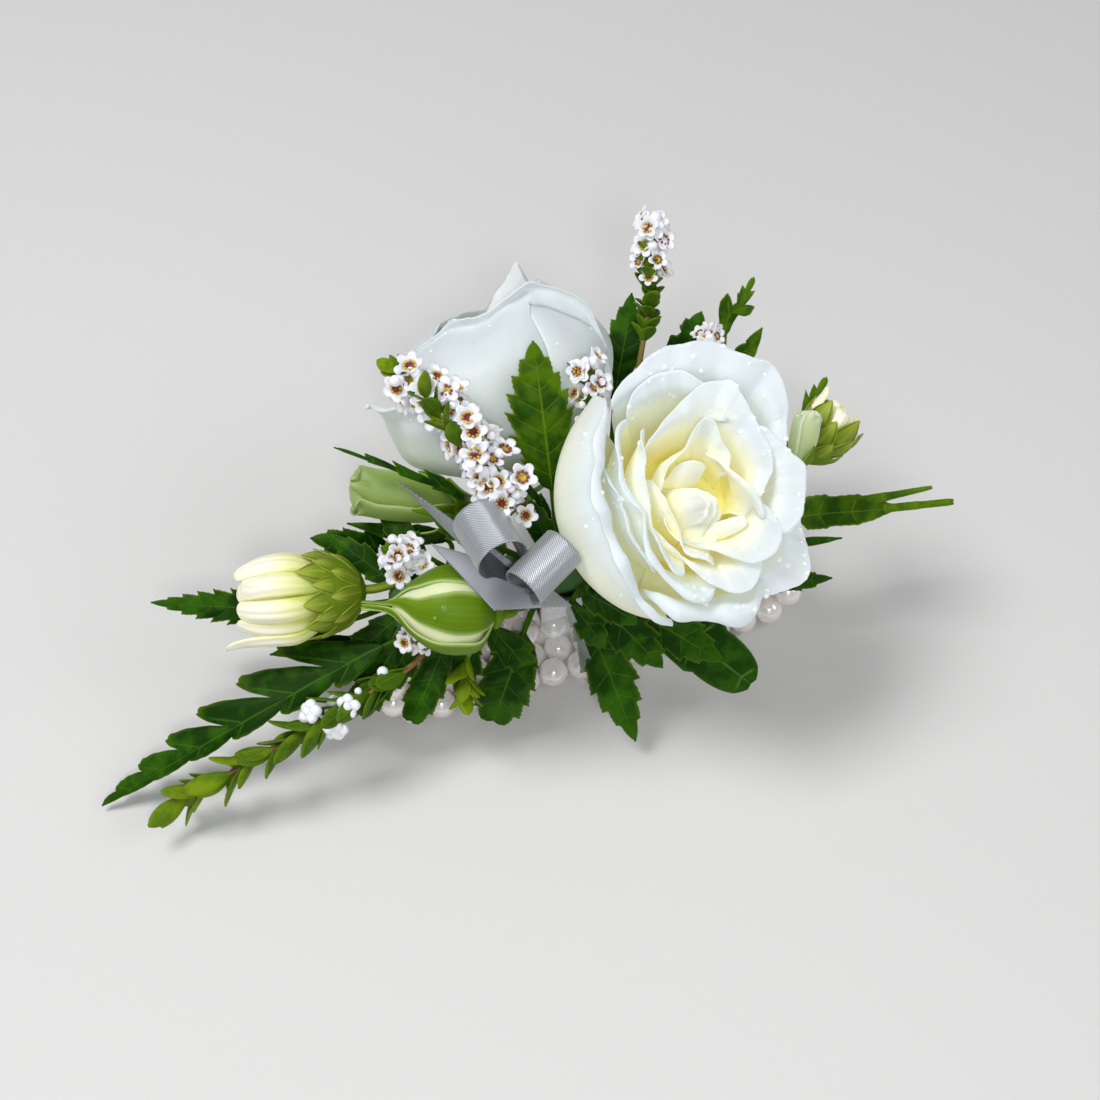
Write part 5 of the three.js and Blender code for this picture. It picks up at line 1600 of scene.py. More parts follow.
@dataclass
class DaisyBud(Bud):
    """A half-open bud: grooved strap petals in two layers, out of a cup of overlapping bracts."""

    petals: int
    scales: int
    seed: int
    cover: float = 1.0

    def build(self) -> None:
        """Make the petals and the cup."""
        straps, cup, draw = Shape(), Shape(), Draw(self.seed)
        r, size, place = self.radius, self.length, self.place()
        core = [(0.42, 0.16), (0.78, 0.35), (0.86, 0.6), (0.66, 0.8), (0.1, 0.9)]
        straps.lathe(self.scaled(core), place, 24, 14, tint=(0.9, 0.3, 0))
        layers = ((self.petals - 2, 0.82, 0.5), (self.petals, 1.0, 0.0))
        for layer, (count, inner, shift) in enumerate(layers):
            for k in range(count):
                azimuth = math.tau * (k + shift) / count
                reach = size * (0.92 + 0.08 * draw()) * (1.0 if layer else 0.97)
                lift = 0.0 if k % 2 else 0.09 * r
                half = 0.93 * math.pi * r / count
                slack = lerp(-0.7, 1.1, draw()) * r / 8
                if layer and k == 0:
                    azimuth, slack, lift, reach = 0.3, 0.42 * r, 0.12 * r, 1.07 * size
                rows = [
                    (0.68 * r * inner, 0.26 * size, half * 0.6), (0.95 * r * inner + lift, 0.5 * size, half),
                    (0.95 * r * inner + lift, 0.70 * size, half * 0.95),
                    (0.78 * r * inner + lift + slack * 0.4, 0.87 * size, half * 0.86),
                    (0.52 * r * inner + 1.6 * lift + slack, reach, half * 0.66),
                ]
                blade = hugging(rows, azimuth + 0.12 * (draw() - 0.5), 28, 15, 0.1 * r, 0.025 * r, 0.02 * r,
                                round_tip=0.14)
                foot = 1 - smooth(blade[2], 0.05, 0.6)
                # Painted shade: the sides of each strap, where its neighbours overlap it, go towards the
                # deep colour.
                painted_overlap_shade = 0.35 * smooth(np.abs(blade[1]), 0.6, 1.0)
                self.add_blade(straps, blade, 0.5, 0.75 * foot + painted_overlap_shade + 0.1 * draw(), 0.55 * foot**2)
        finish_piece(f"{self.name}_straps", straps, BUD_CREAM, "bud_petal", [f"{self.name}_petals"])
        bowl = [(0.6, -0.6), (0.45 * r, 0.02 * size), (0.86 * r, 0.14 * size), (1.0 * r, 0.26 * size)]
        cup.lathe([*bowl, (0.9 * r, 0.27 * size), (0.5 * r, 0.14 * size), (0.1, 0.1 * size)], place, 28, 22)
        for layer, (low, high, out) in enumerate(((0.13, 0.45, 0.3), (0.07, 0.35, 0.5), (0.01, 0.22, 0.6))):
            out = out + 0.13 * r * (self.cover - 1)
            for k in range(self.scales):
                azimuth = math.tau * (k + 0.5 * (layer % 2)) / self.scales
                half = 0.62 * math.pi * r / self.scales * (1.15 - 0.18 * layer) * self.cover**0.4
                middle = (low + high) / 2
                tall = size * self.cover
                tip = r * min(1.05, 0.62 + 1.3 * high) + out * 0.9
                rows = [
                    (r * (0.35 + 1.9 * low) + 0.1, low * tall, half),
                    (r * (0.55 + 1.5 * middle) + out, middle * tall, half * 1.2),
                    (tip, high * tall * (0.94 + 0.12 * draw()), half * 0.3),
                ]
                blade = hugging(rows, azimuth + 0.2 * (draw() - 0.5), 14, 11, 0.12, round_tip=0.3)
                across = np.abs(blade[1])
                line = smooth(across, 0.62, 0.82) * (1 - smooth(across, 0.86, 0.96))
                line = line * smooth(blade[2], 0.2, 0.7)
                self.add_blade(cup, blade, 0.3, 0.15 + 0.75 * smooth(blade[2], 0.5, 1.0), 0.85 * line)
        self.add_stem(cup)
        finish_piece(f"{self.name}_cup", cup, BRACT_GREEN, "calyx", [f"{self.name}_bracts"])


@dataclass
class RoseBud(Bud):
    """A green rose bud: furled petals under five broad sepals that come to a twisted point.

    The drops of water on it are given by azimuth in degrees, height and radius.
    """

    drops: tuple[Triple, ...] = ((93, 10.6, 0.85), (80, 12.2, 0.4), (112, 7.6, 0.35))

    def build(self) -> None:
        """Make the body and the sepals."""
        body, green, place = Shape(), Shape(), self.place()
        core = [(0.3, 0.08), (0.86, 0.2), (1.03, 0.4), (0.95, 0.58), (0.60, 0.78), (0.1, 1.0)]
        body.lathe(self.scaled(core), place, 36, 22, tint=(0.1, 0.42, 0))
        finish_piece(f"{self.name}_body", body, BUD_CREAM, "bud_petal", [f"{self.name}_petals"])
        green.lathe([(0.8, -1.4), (2.6, -0.6), (3.3, 0.2), (2.8, 1.0), (0.5, 1.2)], place, 24, 14)
        rows = [
            (2.2, 0.035, 0.2), (7.2, 0.16, 0.44), (8.3, 0.38, 0.54), (7.6, 0.6, 0.42), (4.8, 0.82, 0.22),
            (1.2, 1.02, 0.06), (0.7, 1.28, 0.02),
        ]
        for k in range(5):
            azimuth = math.tau * k / 5 + 0.25
            points = [(r, z * self.length, h * self.radius) for r, z, h in rows]
            blade = hugging(points, azimuth, 40, 17, 0.15, 0.0, 0.1, twist=1.2)
            edge = smooth(np.abs(blade[1]), 0.8, 1.0)
            bloom = 0.28 * smooth(np.abs(blade[1] + 0.2), 0.0, 0.9) * smooth(blade[2], 0.3, 0.8)
            self.add_blade(green, blade, 0.34, bloom, edge)
        self.add_stem(green)
        finish_piece(f"{self.name}_green", green, SEPAL_GREEN, "calyx", [f"{self.name}_sepals"])
        dew = Shape()
        for angle, height, size in self.drops:
            at = place.apply(polar(1.05 * self.radius, math.radians(angle), height))
            add_drop(dew, at, unit(at - place.apply(vec(0, 0, height))), size)
        finish_piece(f"{self.name}_dew", dew, CLEAR_DEW, "calyx", [])


@dataclass
class PaleBud(Bud):
    """A pale bud: petals furled round each other, with wavy rims, in small pointed sepals."""

    sepals: int
    wraps: int = 4
    finish: PetalFinish = BUD_IN_SHADE

    def build(self) -> None:
        """Make the furled petals and the sepals."""
        body, green, place = Shape(), Shape(), self.place()
        r, size = self.radius, self.length
        core = [(0.3, 0.1), (0.62, 0.22), (0.82, 0.45), (0.84, 0.7), (0.6, 0.88), (0.1, 0.95)]
        body.lathe(self.scaled(core), place, 24, 16, tint=(0.5, 0.2, 0))
        for k in range(self.wraps):
            azimuth = math.tau * k / self.wraps
            rows = [
                (0.3 * r, 0.08 * size, 0.25 * r), (0.68 * r, 0.2 * size, 0.8 * r),
                (0.9 * r, 0.45 * size, 1.1 * r), (0.96 * r, 0.7 * size, 1.1 * r),
                (0.92 * r, 0.85 * size, 1.0 * r), (0.80 * r, (0.95 + 0.04 * (k % 2)) * size, 0.8 * r),
            ]
            grid, across, along = hugging(
                rows, azimuth, 30, 25, crown=0.1, spiral=0.14 * r, twist=0.25, round_tip=0.12
            )
            flare = smooth(along, 0.7, 1.0) * (0.13 * r * np.sin(7 * across + 2 * k) + 0.10 * r)
            grid[..., 2] += smooth(along, 0.7, 1.0) * 0.14 * r * np.cos(8 * across + k)
            grid = grid + unit(grid * vec(1, 1, 0)) * flare[..., None]
            pale = np.maximum(smooth(np.abs(across), 0.78, 1.0), smooth(along, 0.85, 1.0))
            warm = (0.62 - 0.3 * along) * (1 - pale)
            self.add_blade(body, (grid, across, along), 0.4, warm, 0.6 * (1 - smooth(along, 0, 0.5)))
        finish_piece(f"{self.name}_furl", body, self.finish, "pale_bud", [f"{self.name}_petals"])
        start = 0.2 * r + 0.8
        foot = [(0.7, -1.2), (start + 0.5, -0.2), (start + 0.6, 0.06 * size), (0.3, 0.08 * size)]
        green.lathe(foot, place, 20, 12)
        for k in range(self.sepals):
            rows = [
                (start, 0.03 * size, 0.2 * r), (0.9 * r + 0.9, 0.17 * size, 0.32 * r),
                (1.1 * r + 1.0, 0.3 * size, 0.18 * r), (1.2 * r + 1.0, 0.42 * size, 0.03 * r),
            ]
            blade = hugging(rows, math.tau * k / self.sepals, 16, 9, crown=0.15)
            self.add_blade(green, blade, 0.35, 0 * blade[1], 0.6 * smooth(np.abs(blade[1]), 0.75, 1.0))
        self.add_stem(green)
        finish_piece(f"{self.name}_green", green, SEPAL_GREEN, "calyx", [f"{self.name}_sepals"])


BUDS = (
    DaisyBud("daisy_bud", (-35.8, -7.6, 16), (-0.99, -0.1, 0.03), -38.5, 7.8, 25, 10, 9, 7),
    DaisyBud("daisy_bud_right", (49.6, 17.8, 8), (0.62, 0.76, 0.1), 38, 4.8, 13, 8, 6, 9, 2.0),
    RoseBud("rose_bud", (-9.7, -11.6, 24), (-0.99, 0.05, 0.1), -14, 7.8, 20),
    PaleBud("pale_bud", (-17.5, 8.3, 12), (-0.98, 0.16, 0.05), -20, 4.7, 21, 5),
    PaleBud("pale_bud_right", (47.2, 15.6, 16.8), (0.22, 0.97, 0), 34, 2.5, 11, 3, finish=BUD_WHITISH),
)


# ------------------------------------------------------------------ white sprays
@dataclass(frozen=True)
class Florets:
    """How flowers or leaves are set along a spray: how many, between which shares, how far out."""

    count: int
    start: float
    end: float
    reach: float
    size: float
    lean: float = 0.0


@dataclass
class Spray:
    """A stem with small flowers, closed buds and leaves set round it by a rule."""

    name: str
    root: float
    path: tuple[Triple, ...]
    seed: int
    flowers: Florets | None = None
    leaves: Florets | None = None
    buds: int = 0
    fill: int = 0
    fill_start: float = 0.3
    leaf_fill: int = 0
    sag: tuple[float, float] = (0.0, 0.0)
    sprig: tuple[Triple, Triple] | None = None
    globes: bool = False
    warmth: tuple[float, float] = (0.2, 0.5)
    reddish: float = 0.0
    green: bool = False
    extra: Draw = field(init=False)

    def __post_init__(self) -> None:
        """Start the second run of draws, for what the solid leaves out."""
        self.extra = Draw(self.seed + 100)

    def station(self, line: Array, share: float, angle: float) -> tuple[Array, Array, Array]:
        """A station on the stem, at a share of its length and an angle round it.

        Args:
            line: the stem's control points.
            share: the share of the way along.
            angle: the angle in radians.

        Returns:
            Its point, the stem's direction there, and the way out of the stem.
        """
        at = np.array([share])
        along = headings(line, at)[0]
        a, b = ring_axes(along)
        return spline(line, at)[0], along, a * math.cos(angle) + b * math.sin(angle)

    def build(self) -> None:
        """Make the white flowers, their centres and the green of the spray."""
        draw = Draw(self.seed)
        first = vec(*self.path[0])
        line = np.array([bundle_edge(self.root, first), *self.path])
        stem, white, centres, leafy = Shape(), Shape(), Shape(), Shape()
        share = np.linspace(0, 1, 14 * len(line))
        stem.tube(spline(line, share), lerp(0.7, 0.35, share), 7, (self.reddish, 0, 0))
        if self.flowers:
            self.add_flowers(draw, line, white, centres, stem)
        if self.leaves:
            self.add_leaves(draw, line, leafy)
        if self.sprig:
            self.add_sprig(leafy, stem)
        slot = "fresh_leaf" if self.green else "white_spray"
        pieces = {
            "stem": (stem, STEM_GREEN), "flowers": (white, SPRAY_WHITE), "centres": (centres, CENTRES),
            "leaves": (leafy, SHOOT_LEAF),
        }
        for part, (shape, finish) in pieces.items():
            if shape.count:
                finish_piece(f"{self.name}_{part}", shape, finish, slot, [self.name])

    def add_flowers(self, draw: Draw, line: Array, white: Shape, centres: Shape, stem: Shape) -> None:
        """Set the flowers round the stem, each on its own short stalk, and closed buds between them.

        Args:
            draw: the run of draws that the solid follows.
            line: the stem's control points.
            white: takes the petals.
            centres: takes the flower centres.
            stem: takes the stalks.
        """
        flowers = self.flowers
        for k in range(flowers.count):
            t = float(lerp(flowers.start, flowers.end, (k + 0.5) / flowers.count))
            foot, along, out = self.station(line, t, k * GOLDEN_ANGLE + 0.4 * draw())
            facing = unit(vec(0, 0, 0.5) + out * 0.8 + along * 0.35)
            centre = foot + out * flowers.reach * (0.85 + 0.3 * draw()) + along
            if self.globes:
                self.add_globes(white, centre, facing, flowers.size)
            else:
                add_floret(white, centres, centre, facing, flowers.size, self.extra)
            add_stalk(stem, foot, centre, facing, 0.28)
        for k in range(self.fill):
            t = float(lerp(self.fill_start, flowers.end, (k + self.extra()) / self.fill))
            foot, along, out = self.station(line, t, k * GOLDEN_ANGLE + 1.3)
            out = unit(out + vec(0, 0, 0.35))
            facing = unit(vec(0, 0, 0.7) + out * 0.8 + along * 0.2)
            centre = foot + out * flowers.reach * (0.55 + 0.5 * self.extra()) + along * 0.5
            centre = centre + vec(*self.sag, 0) * (1 - smooth(t, 0.2, 0.8))
            radius = flowers.size * lerp(0.8, 1.0, self.extra())
            add_floret(white, centres, centre, facing, radius, self.extra)
            add_stalk(stem, foot, centre, facing, 0.26)
        for k in range(self.buds):
            t = float(lerp(min(self.fill_start, flowers.start), flowers.end, self.extra()))
            foot, along, out = self.station(line, t, math.tau * self.extra())
            facing = unit(out + along * 0.5 + vec(0, 0, 0.3))
            centre = foot + facing * flowers.reach * (0.75 + 0.3 * self.extra())
            add_closed_bud(white, centre, facing, lerp(0.75, 1.15, self.extra()))
            add_stalk(stem, foot, centre, facing, 0.2, bend=0.5, behind=0.7)

    def add_globes(self, white: Shape, centre: Array, facing: Array, size: float) -> None:
        """Add a cluster of closed buds where an open flower would be.

        Args:
            white: takes the buds.
            centre: the middle of the cluster.
            facing: the way that it looks.
            size: the radius of the cluster.
        """
        a, b = ring_axes(facing)
        for k in range(5):
            turn = math.tau * (k + 0.4 * self.extra()) / 5
            out = math.cos(turn) * a + math.sin(turn) * b
            at = centre + out * size * 0.55
            add_closed_bud(white, at, unit(facing + out * 0.7), size * lerp(0.42, 0.52, self.extra()))
        add_closed_bud(white, centre + facing * 0.3 * size, facing, size * 0.42)

    def add_sprig(self, leafy: Shape, stem: Shape) -> None:
        """Add a short leafy side shoot that stands in front of the flowers.

        Args:
            leafy: takes the leaves.
            stem: takes the shoot's stem.
        """
        foot, tip = (vec(*end) for end in self.sprig)
        along = unit(tip - foot)
        stem.tube(np.array([foot, lerp(foot, tip, 0.5), tip]), 0.3, 6, (0.6, 0, 0))
        for k in range(9):
            a, b = ring_axes(along)
            turn = k * GOLDEN_ANGLE
            direction = unit(along + 0.75 * (a * math.cos(turn) + b * math.sin(turn)))
            at = lerp(foot, tip, (k + 0.5) / 9)
            length = lerp(4.6, 6.0, self.extra())
            add_small_leaf(leafy, at, direction, along, length, 1.6, self.extra(), lerp(-0.5, 0.3, k / 8))

    def add_leaves(self, draw: Draw, line: Array, leafy: Shape) -> None:
        """Set small leaves round the stem, a quarter turn and a little more from each to the next.

        Args:
            draw: the run of draws that the solid follows.
            line: the stem's control points.
            leafy: takes the leaves.
        """
        leaves = self.leaves
        for k in range(leaves.count):
            t = float(lerp(leaves.start, leaves.end, (k + 0.5) / leaves.count))
            foot, along, out = self.station(line, t, k * (math.pi / 2 + 0.35) + 0.4)
            direction = unit(along + out * leaves.lean)
            length = leaves.reach * (0.8 + 0.4 * draw())
            self.add_leaf(leafy, foot, direction, along, length, leaves.size, t)
        for k in range(self.leaf_fill):
            t = float(lerp(leaves.start, leaves.end, (k + self.extra()) / self.leaf_fill))
            foot, along, out = self.station(line, t, k * GOLDEN_ANGLE + 2.0)
            direction = unit(along + out * leaves.lean * lerp(0.6, 1.2, self.extra()))
            length = leaves.reach * lerp(0.7, 1.05, self.extra())
            self.add_leaf(leafy, foot, direction, along, length, leaves.size * 0.9, t)

    def add_leaf(
        self, leafy: Shape, foot: Array, direction: Array, along: Array, length: float, half: float,
        share: float,
    ) -> None:
        """Add one small leaf, whose warmth follows the spray and varies a little.

        Args:
            leafy: takes the leaf.
            foot: where it leaves the stem.
            direction: where it points.
            along: the stem's direction there.
            length: its length.
            half: half its width.
            share: the share of the way along the stem.
        """
        warmth = float(lerp(*self.warmth, share)) + 0.25 * (self.extra() - 0.5)
        add_small_leaf(leafy, foot, direction, along, length, half, self.extra(), warmth)


def add_stalk(
    shape: Shape, foot: Array, centre: Array, facing: Array, radius: float, bend: float = 0.6,
    behind: float = 0.9,
) -> None:
    """Add the short stalk of a flower or bud.

    Args:
        shape: where it goes.
        foot: where it leaves the stem.
        centre: the middle of the flower.
        facing: the way that the flower looks.
        radius: the stalk's radius.
        bend: the share of the way to the flower at which it bends.
        behind: how far behind the middle of the flower it ends.
    """
    shape.tube(np.array([foot, lerp(foot, centre, bend), centre - facing * behind]), radius, 5, (0.7, 0, 0))


def add_small_leaf(
    shape: Shape, foot: Array, direction: Array, face: Array, length: float, half: float, chance: float,
    warmth: float,
) -> None:
    """Add a small pointed leaf: a lens outline, folded along its middle and curved up to its tip.

    Args:
        shape: where it goes.
        foot: where it leaves the stem.
        direction: where it points.
        face: the way that its upper side turns.
        length: its length.
        half: half its width.
        chance: a random number that changes its curve.
        warmth: how far its colour goes from dark green to yellow green.
    """
    side = unit(np.cross(face, direction))
    up = unit(np.cross(direction, side))
    b = np.linspace(0, 1, 12)[:, None]
    c = np.linspace(1, -1, 5)[None]
    width = np.maximum(half * np.sin(math.pi * (0.05 + 0.93 * b) ** 1.1) ** 0.7, 0.1)
    lift = 0.10 * length * (chance - 0.2) * b**2 + 0.35 * width * np.abs(c)
    grid = foot + (b * length)[..., None] * direction + (c * width)[..., None] * side + lift[..., None] * up
    tint = stack(warmth - 0.3 + 0.2 * b, smooth(np.abs(c), 0.4, 1.0) * 0.4, 0.0)
    shape.sheet(grid, 0.3, stack(c, 3 * b, chance), tint)


def on_axes(points: Array, a: Array, b: Array, c: Array) -> Array:
    """Points given along three axes."""
    return points[..., :1] * a + points[..., 1:2] * b + points[..., 2:] * c


# Radius, height and how far the lobes cut in, from the hollow in front to the foot behind.
FLORET_PROFILE = np.array([
    (0.28, -0.42, 0.0), (0.40, -0.12, 0.2), (0.62, -0.02, 0.6), (0.84, 0.06, 0.9), (1.0, 0.10, 1.0),
    (0.98, 0.0, 1.0), (0.66, -0.16, 0.7), (0.34, -0.48, 0.2), (0.20, -0.78, 0.0),
])
FLORET_WARMTH = np.array([0.9, 0.5, 0.1, 0.0, 0.0, 0.1, 0.2, 0.6, 1.0])
FLORET_EYE = ((0.05, -0.1), (0.34, 0.0), (0.36, 0.14), (0.22, 0.2), (0.14, 0.1), (0.04, 0.12))
OLD_FLORET = 0.45


def add_floret(
    white: Shape, centres: Shape, centre: Array, facing: Array, radius: float, draw: Draw
) -> None:
    """Add a small five-petalled flower with its centre.

    Its rings run from a hollow in front, over the rounded lobes of its rim, to its foot behind. The
    radius of a ring follows the lobes: a root of the cosine of five half turns.

    Args:
        white: takes the petals.
        centres: takes the centre.
        centre: the middle of the flower.
        facing: the way that it looks.
        radius: its radius.
        draw: random numbers for its turn, its openness and its colour.
    """
    a, b = ring_axes(facing)
    angle = circle(30)[None]
    lobes = np.abs(np.cos(2.5 * angle + 3 * draw())) ** 0.5
    opening, old = lerp(0.0, 0.45, draw() ** 1.5), draw() > OLD_FLORET
    wide, high, cut = FLORET_PROFILE.T[..., None]
    reach = wide * (1 - cut * 0.62 * (1 - lobes)) * (1 - opening * wide * 0.4)
    height = high + opening * reach**2 * 0.9
    rings = centre + radius * on_axes(polar(reach, angle, height), a, b, facing)
    ends = (centre - facing * 0.42 * radius, centre - facing * 0.9 * radius)
    white.rings(rings, ends, tint=stack(FLORET_WARMTH[:, None], 0.0, 0.0))
    place = Place(centre - facing * 0.3 * radius, np.stack([a, b, facing]))
    eye = [(r * radius, z * radius) for r, z in FLORET_EYE]
    centres.lathe(eye, place, 14, 9, tint=(1.0 if old else 0.15, 0, 0))
    for turn in circle(8):
        at = centre + radius * (0.34 * (math.cos(turn) * a + math.sin(turn) * b) - 0.02 * facing)
        add_bead(centres, at, facing, 0.12 * radius, 0.2 if old else 0.9)


def add_bead(shape: Shape, at: Array, axis: Array, radius: float, warmth: float) -> None:
    """Add a tiny round bead of two rings of five points."""
    a, b = ring_axes(axis)
    angle = circle(5)[None, :, None]
    ring = 0.85 * (np.cos(angle) * a + np.sin(angle) * b)
    rings = at + radius * (ring + np.array([-0.5, 0.5])[:, None, None] * axis)
    shape.rings(rings, (at - axis * radius, at + axis * radius), tint=vec(warmth, 0, 0))


def add_closed_bud(shape: Shape, centre: Array, facing: Array, radius: float) -> None:
    """Add a closed bud: a globe with four seams and a reddish foot."""
    a, b = ring_axes(facing)
    angle = circle(16)[None]
    polar_angle = np.linspace(0.25, math.pi - 0.25, 8)[:, None]
    seam = 1 - 0.1 * np.abs(np.sin(2 * angle)) ** 6 * np.cos(polar_angle / 2)
    globe = polar(radius * np.sin(polar_angle) * seam, angle, radius * np.cos(polar_angle))
    ends = (centre + facing * radius * 0.95, centre - facing * radius)
    tint = stack(0.9 * smooth(polar_angle, 1.7, 2.6), 0.0, 0.0)
    shape.rings(centre + on_axes(globe, a, b, facing), ends, tint=tint)


SPRAYS = (
    Spray("spray_main", -8, ((-3.4, 8.6, 25.5), (-10.5, 15.5, 33.5), (-18.3, 25.6, 34.5), (-28.4, 32.7, 33)),
          3, Florets(17, 0.38, 0.95, 4, 3.05), Florets(6, 0.66, 1, 6, 1.3, 0.6), buds=40, fill=34,
          fill_start=0.24, leaf_fill=12, warmth=(-0.9, 0.3), sag=(-2.6, -3.4),
          sprig=((-16.0, 18.5, 37), (-22.2, 28.0, 39))),
    Spray("spray_top", 8, ((17, 33, 9), (19, 46, 10.5), (19.6, 57, 12), (19.7, 64, 13)), 8,
          Florets(6, 0.76, 1, 2.6, 2.7), Florets(11, 0.36, 0.74, 4.6, 1.6, 1.1), buds=14, fill=12,
          fill_start=0.62, leaf_fill=18, warmth=(-0.7, 0.0), reddish=0.7),
    Spray("spray_centre", -2, ((6.5, 16, 21), (7.5, 28, 25), (6, 35, 27)), 5,
          Florets(5, 0.66, 1, 2.8, 2.6), Florets(4, 0.5, 0.9, 4.5, 1.2, 0.8), buds=8, fill=6,
          fill_start=0.5, leaf_fill=8, warmth=(-0.6, 0.1)),
    Spray("spray_left", -32, ((-26.5, -3, 19), (-30, -0.5, 22)), 11,
          Florets(6, 0.4, 1, 3.6, 2.7), Florets(2, 0.5, 0.9, 4, 1.1, 0.8), buds=18, fill=8, leaf_fill=4,
          warmth=(-0.6, 0.1)),
    Spray("spray_low", -33, ((-26.6, -22.2, 16), (-39, -30.1, 19), (-54.9, -39.2, 19), (-71, -48.4, 16)),
          21, Florets(5, 0.46, 0.62, 2.8, 2.5), Florets(17, 0.26, 1, 8.8, 1.85, 0.7), buds=4, leaf_fill=26,
          globes=True, warmth=(-1.3, 0.7), reddish=0.9, green=True),
    Spray("spray_under_bud", -33, ((-25.6, -14.3, 18), (-25.8, -17.8, 18.6)), 2,
          Florets(3, 0.7, 1, 2.4, 2.2), buds=6, fill=3, fill_start=0.6),
    Spray("spray_back_right", 26, ((29, 34, 8), (31, 42.6, 9.5)), 4, Florets(3, 0.85, 1, 1.8, 2), buds=4,
          fill=2, fill_start=0.8),
    Spray("shoot_front", -19, ((-15.6, -20, 13), (-16.5, -28, 11)), 6, None,
          Florets(8, 0.5, 1, 5.5, 1.4, 0.9), leaf_fill=4, warmth=(-0.3, 0.7), green=True),
)


# ------------------------------------------------------------------ the satin bow
@dataclass(frozen=True)
class BowLoop:
    """One loop of ribbon: a circle about an axis, closed at the knot."""

    centre: Triple
    radius: float
    along: Triple


@dataclass
class Bow:
    """The satin bow: two loops and two tails on a knot tied to the bundle, over a sheer net."""

    width: float = 11.0
    thickness: float = 0.28
    gathered: float = 1.7
    knot: Triple = (-3, -6.5, 28)
    loops: tuple[BowLoop, ...] = (
        BowLoop((-11, 2, 35.5), 4.8, (-0.44, 0.7, -0.56)),
        BowLoop((-1.2, -3.2, 36.5), 4.1, (0.67, 0.68, -0.3)),
    )
    tails: tuple[tuple[Triple, Triple, Triple, Triple], ...] = (
        ((-21.8, 1.1, 33), (-10.3, -11, 33.5), (-3.5, -4.2, 28.5), (4.0, -10.4, 27.5)),
        ((-28, 12.6, 33.5), (-26.5, 11, 26), (-5.6, -3.2, 30), (-8.6, -7.2, 27)),
    )

    def loop_grid(self, loop: BowLoop) -> Array:
        """A loop's middle surface: ribbon that leaves the knot, runs round a circle and comes back.

        The strip is the full width round the circle and is drawn in to pleats at the knot.

        Args:
            loop: which loop.

        Returns:
            Points by row and column.
        """
        centre, along, knot = vec(*loop.centre), unit(loop.along), vec(*self.knot)
        to_knot = knot - centre
        to_knot = unit(to_knot - along * (to_knot @ along))
        aside = np.cross(along, to_knot)
        angle = np.linspace(0.7, math.tau - 0.7, 9)[:, None]
        ring = centre + loop.radius * (np.cos(angle) * to_knot + np.sin(angle) * aside)
        middle = np.vstack([knot + aside * 0.4, ring, knot - aside * 0.4])
        half = np.full((len(middle), 1), self.width / 2)
        half[[0, -1]] = self.gathered
        line = spline(np.hstack([middle, half]), np.linspace(0, 1, 90))
        s = np.linspace(-1, 1, 21)[None]
        path, half = line[:, :3], line[:, 3:]
        normal = unit(np.cross(np.gradient(path, axis=0), along))
        pleat = 0.45 * np.cos(2.5 * math.pi * s) * (1 - half / (self.width / 2))
        return path[:, None] + (s * half)[..., None] * along + pleat[..., None] * normal[:, None]

    def tail_grid(self, corners: tuple[Triple, Triple, Triple, Triple]) -> Array:
        """A tail's middle surface: from the knot to its slanting cut, sagging a little on the way.

        Args:
            corners: the two corners of the cut, then the two where it leaves the knot.

        Returns:
            Points by row and column.
        """
        left, right, *start = (vec(*corner) for corner in corners)
        t = np.linspace(0, 1, 46)
        left_edge, right_edge = (
            spline([near, lerp(near, far, 0.5) - vec(0, 0, 0.6), far], t)
            for near, far in zip(start, (left, right))
        )
        s = np.linspace(0, 1, 21)[None, :, None]
        grid = lerp(left_edge[:, None], right_edge[:, None], s)
        crown = 0.5 * np.sin(math.pi * s) * np.sin(math.pi * t)[:, None, None]
        return grid + crown * vec(0, 0, 1)

    def build(self) -> None:
        """Make each run of ribbon, the knot and the sheer net."""
        runs = {f"bow_loop_{k + 1}": self.loop_grid(loop) for k, loop in enumerate(self.loops)}
        runs |= {f"bow_tail_{k + 1}": self.tail_grid(tail) for k, tail in enumerate(self.tails)}
        for name, grid in runs.items():
            self.add_run(name, grid, SATIN, self.thickness, self.width)
        self.build_knot()
        self.add_run("sheer_net", self.net_grid(), SHEER, 0.12, 14.0)

    def net_grid(self) -> Array:
        """The sheer net: it falls from the knot over the pearls and widens in soft ripples."""
        t, s = np.linspace(0, 1, 34)[:, None], np.linspace(-1, 1, 31)[None]
        half = lerp(1.6, 6.4, t**0.8)
        ripple = 1.1 * np.cos(3.2 * math.pi * s + 0.6) * t
        x = 1.4 + half * s + 1.6 * t
        y = -9.5 - 16.0 * t + 0.9 * np.cos(5 * s) * t
        z = lerp(22.5, 7.0, t**0.75) + ripple
        return stack(x, y, z)

    def add_run(self, name: str, grid: Array, finish: Finish, thickness: float, width: float) -> None:
        """Make one run of ribbon.

        Args:
            name: the piece's name.
            grid: its middle surface.
            finish: its finish.
            thickness: its thickness.
            width: the width that it was cut to. Not used.
        """
        down, right = np.diff(grid, axis=0)[:, :-1], np.diff(grid, axis=1)[:-1]
        length = np.linalg.norm(np.diff(grid.mean(axis=1), axis=0), axis=-1).sum()
        row_length = np.linspace(0, length, grid.shape[0])[:, None]
        s = np.linspace(-1, 1, grid.shape[1])[None]
        shape = Shape()
        shape.sheet(grid, thickness, stack(s, row_length * 2.0, 0.5), NO_TINT)
        piece = finish_piece(name, shape, finish, "ribbon", ["ribbon_bow"])

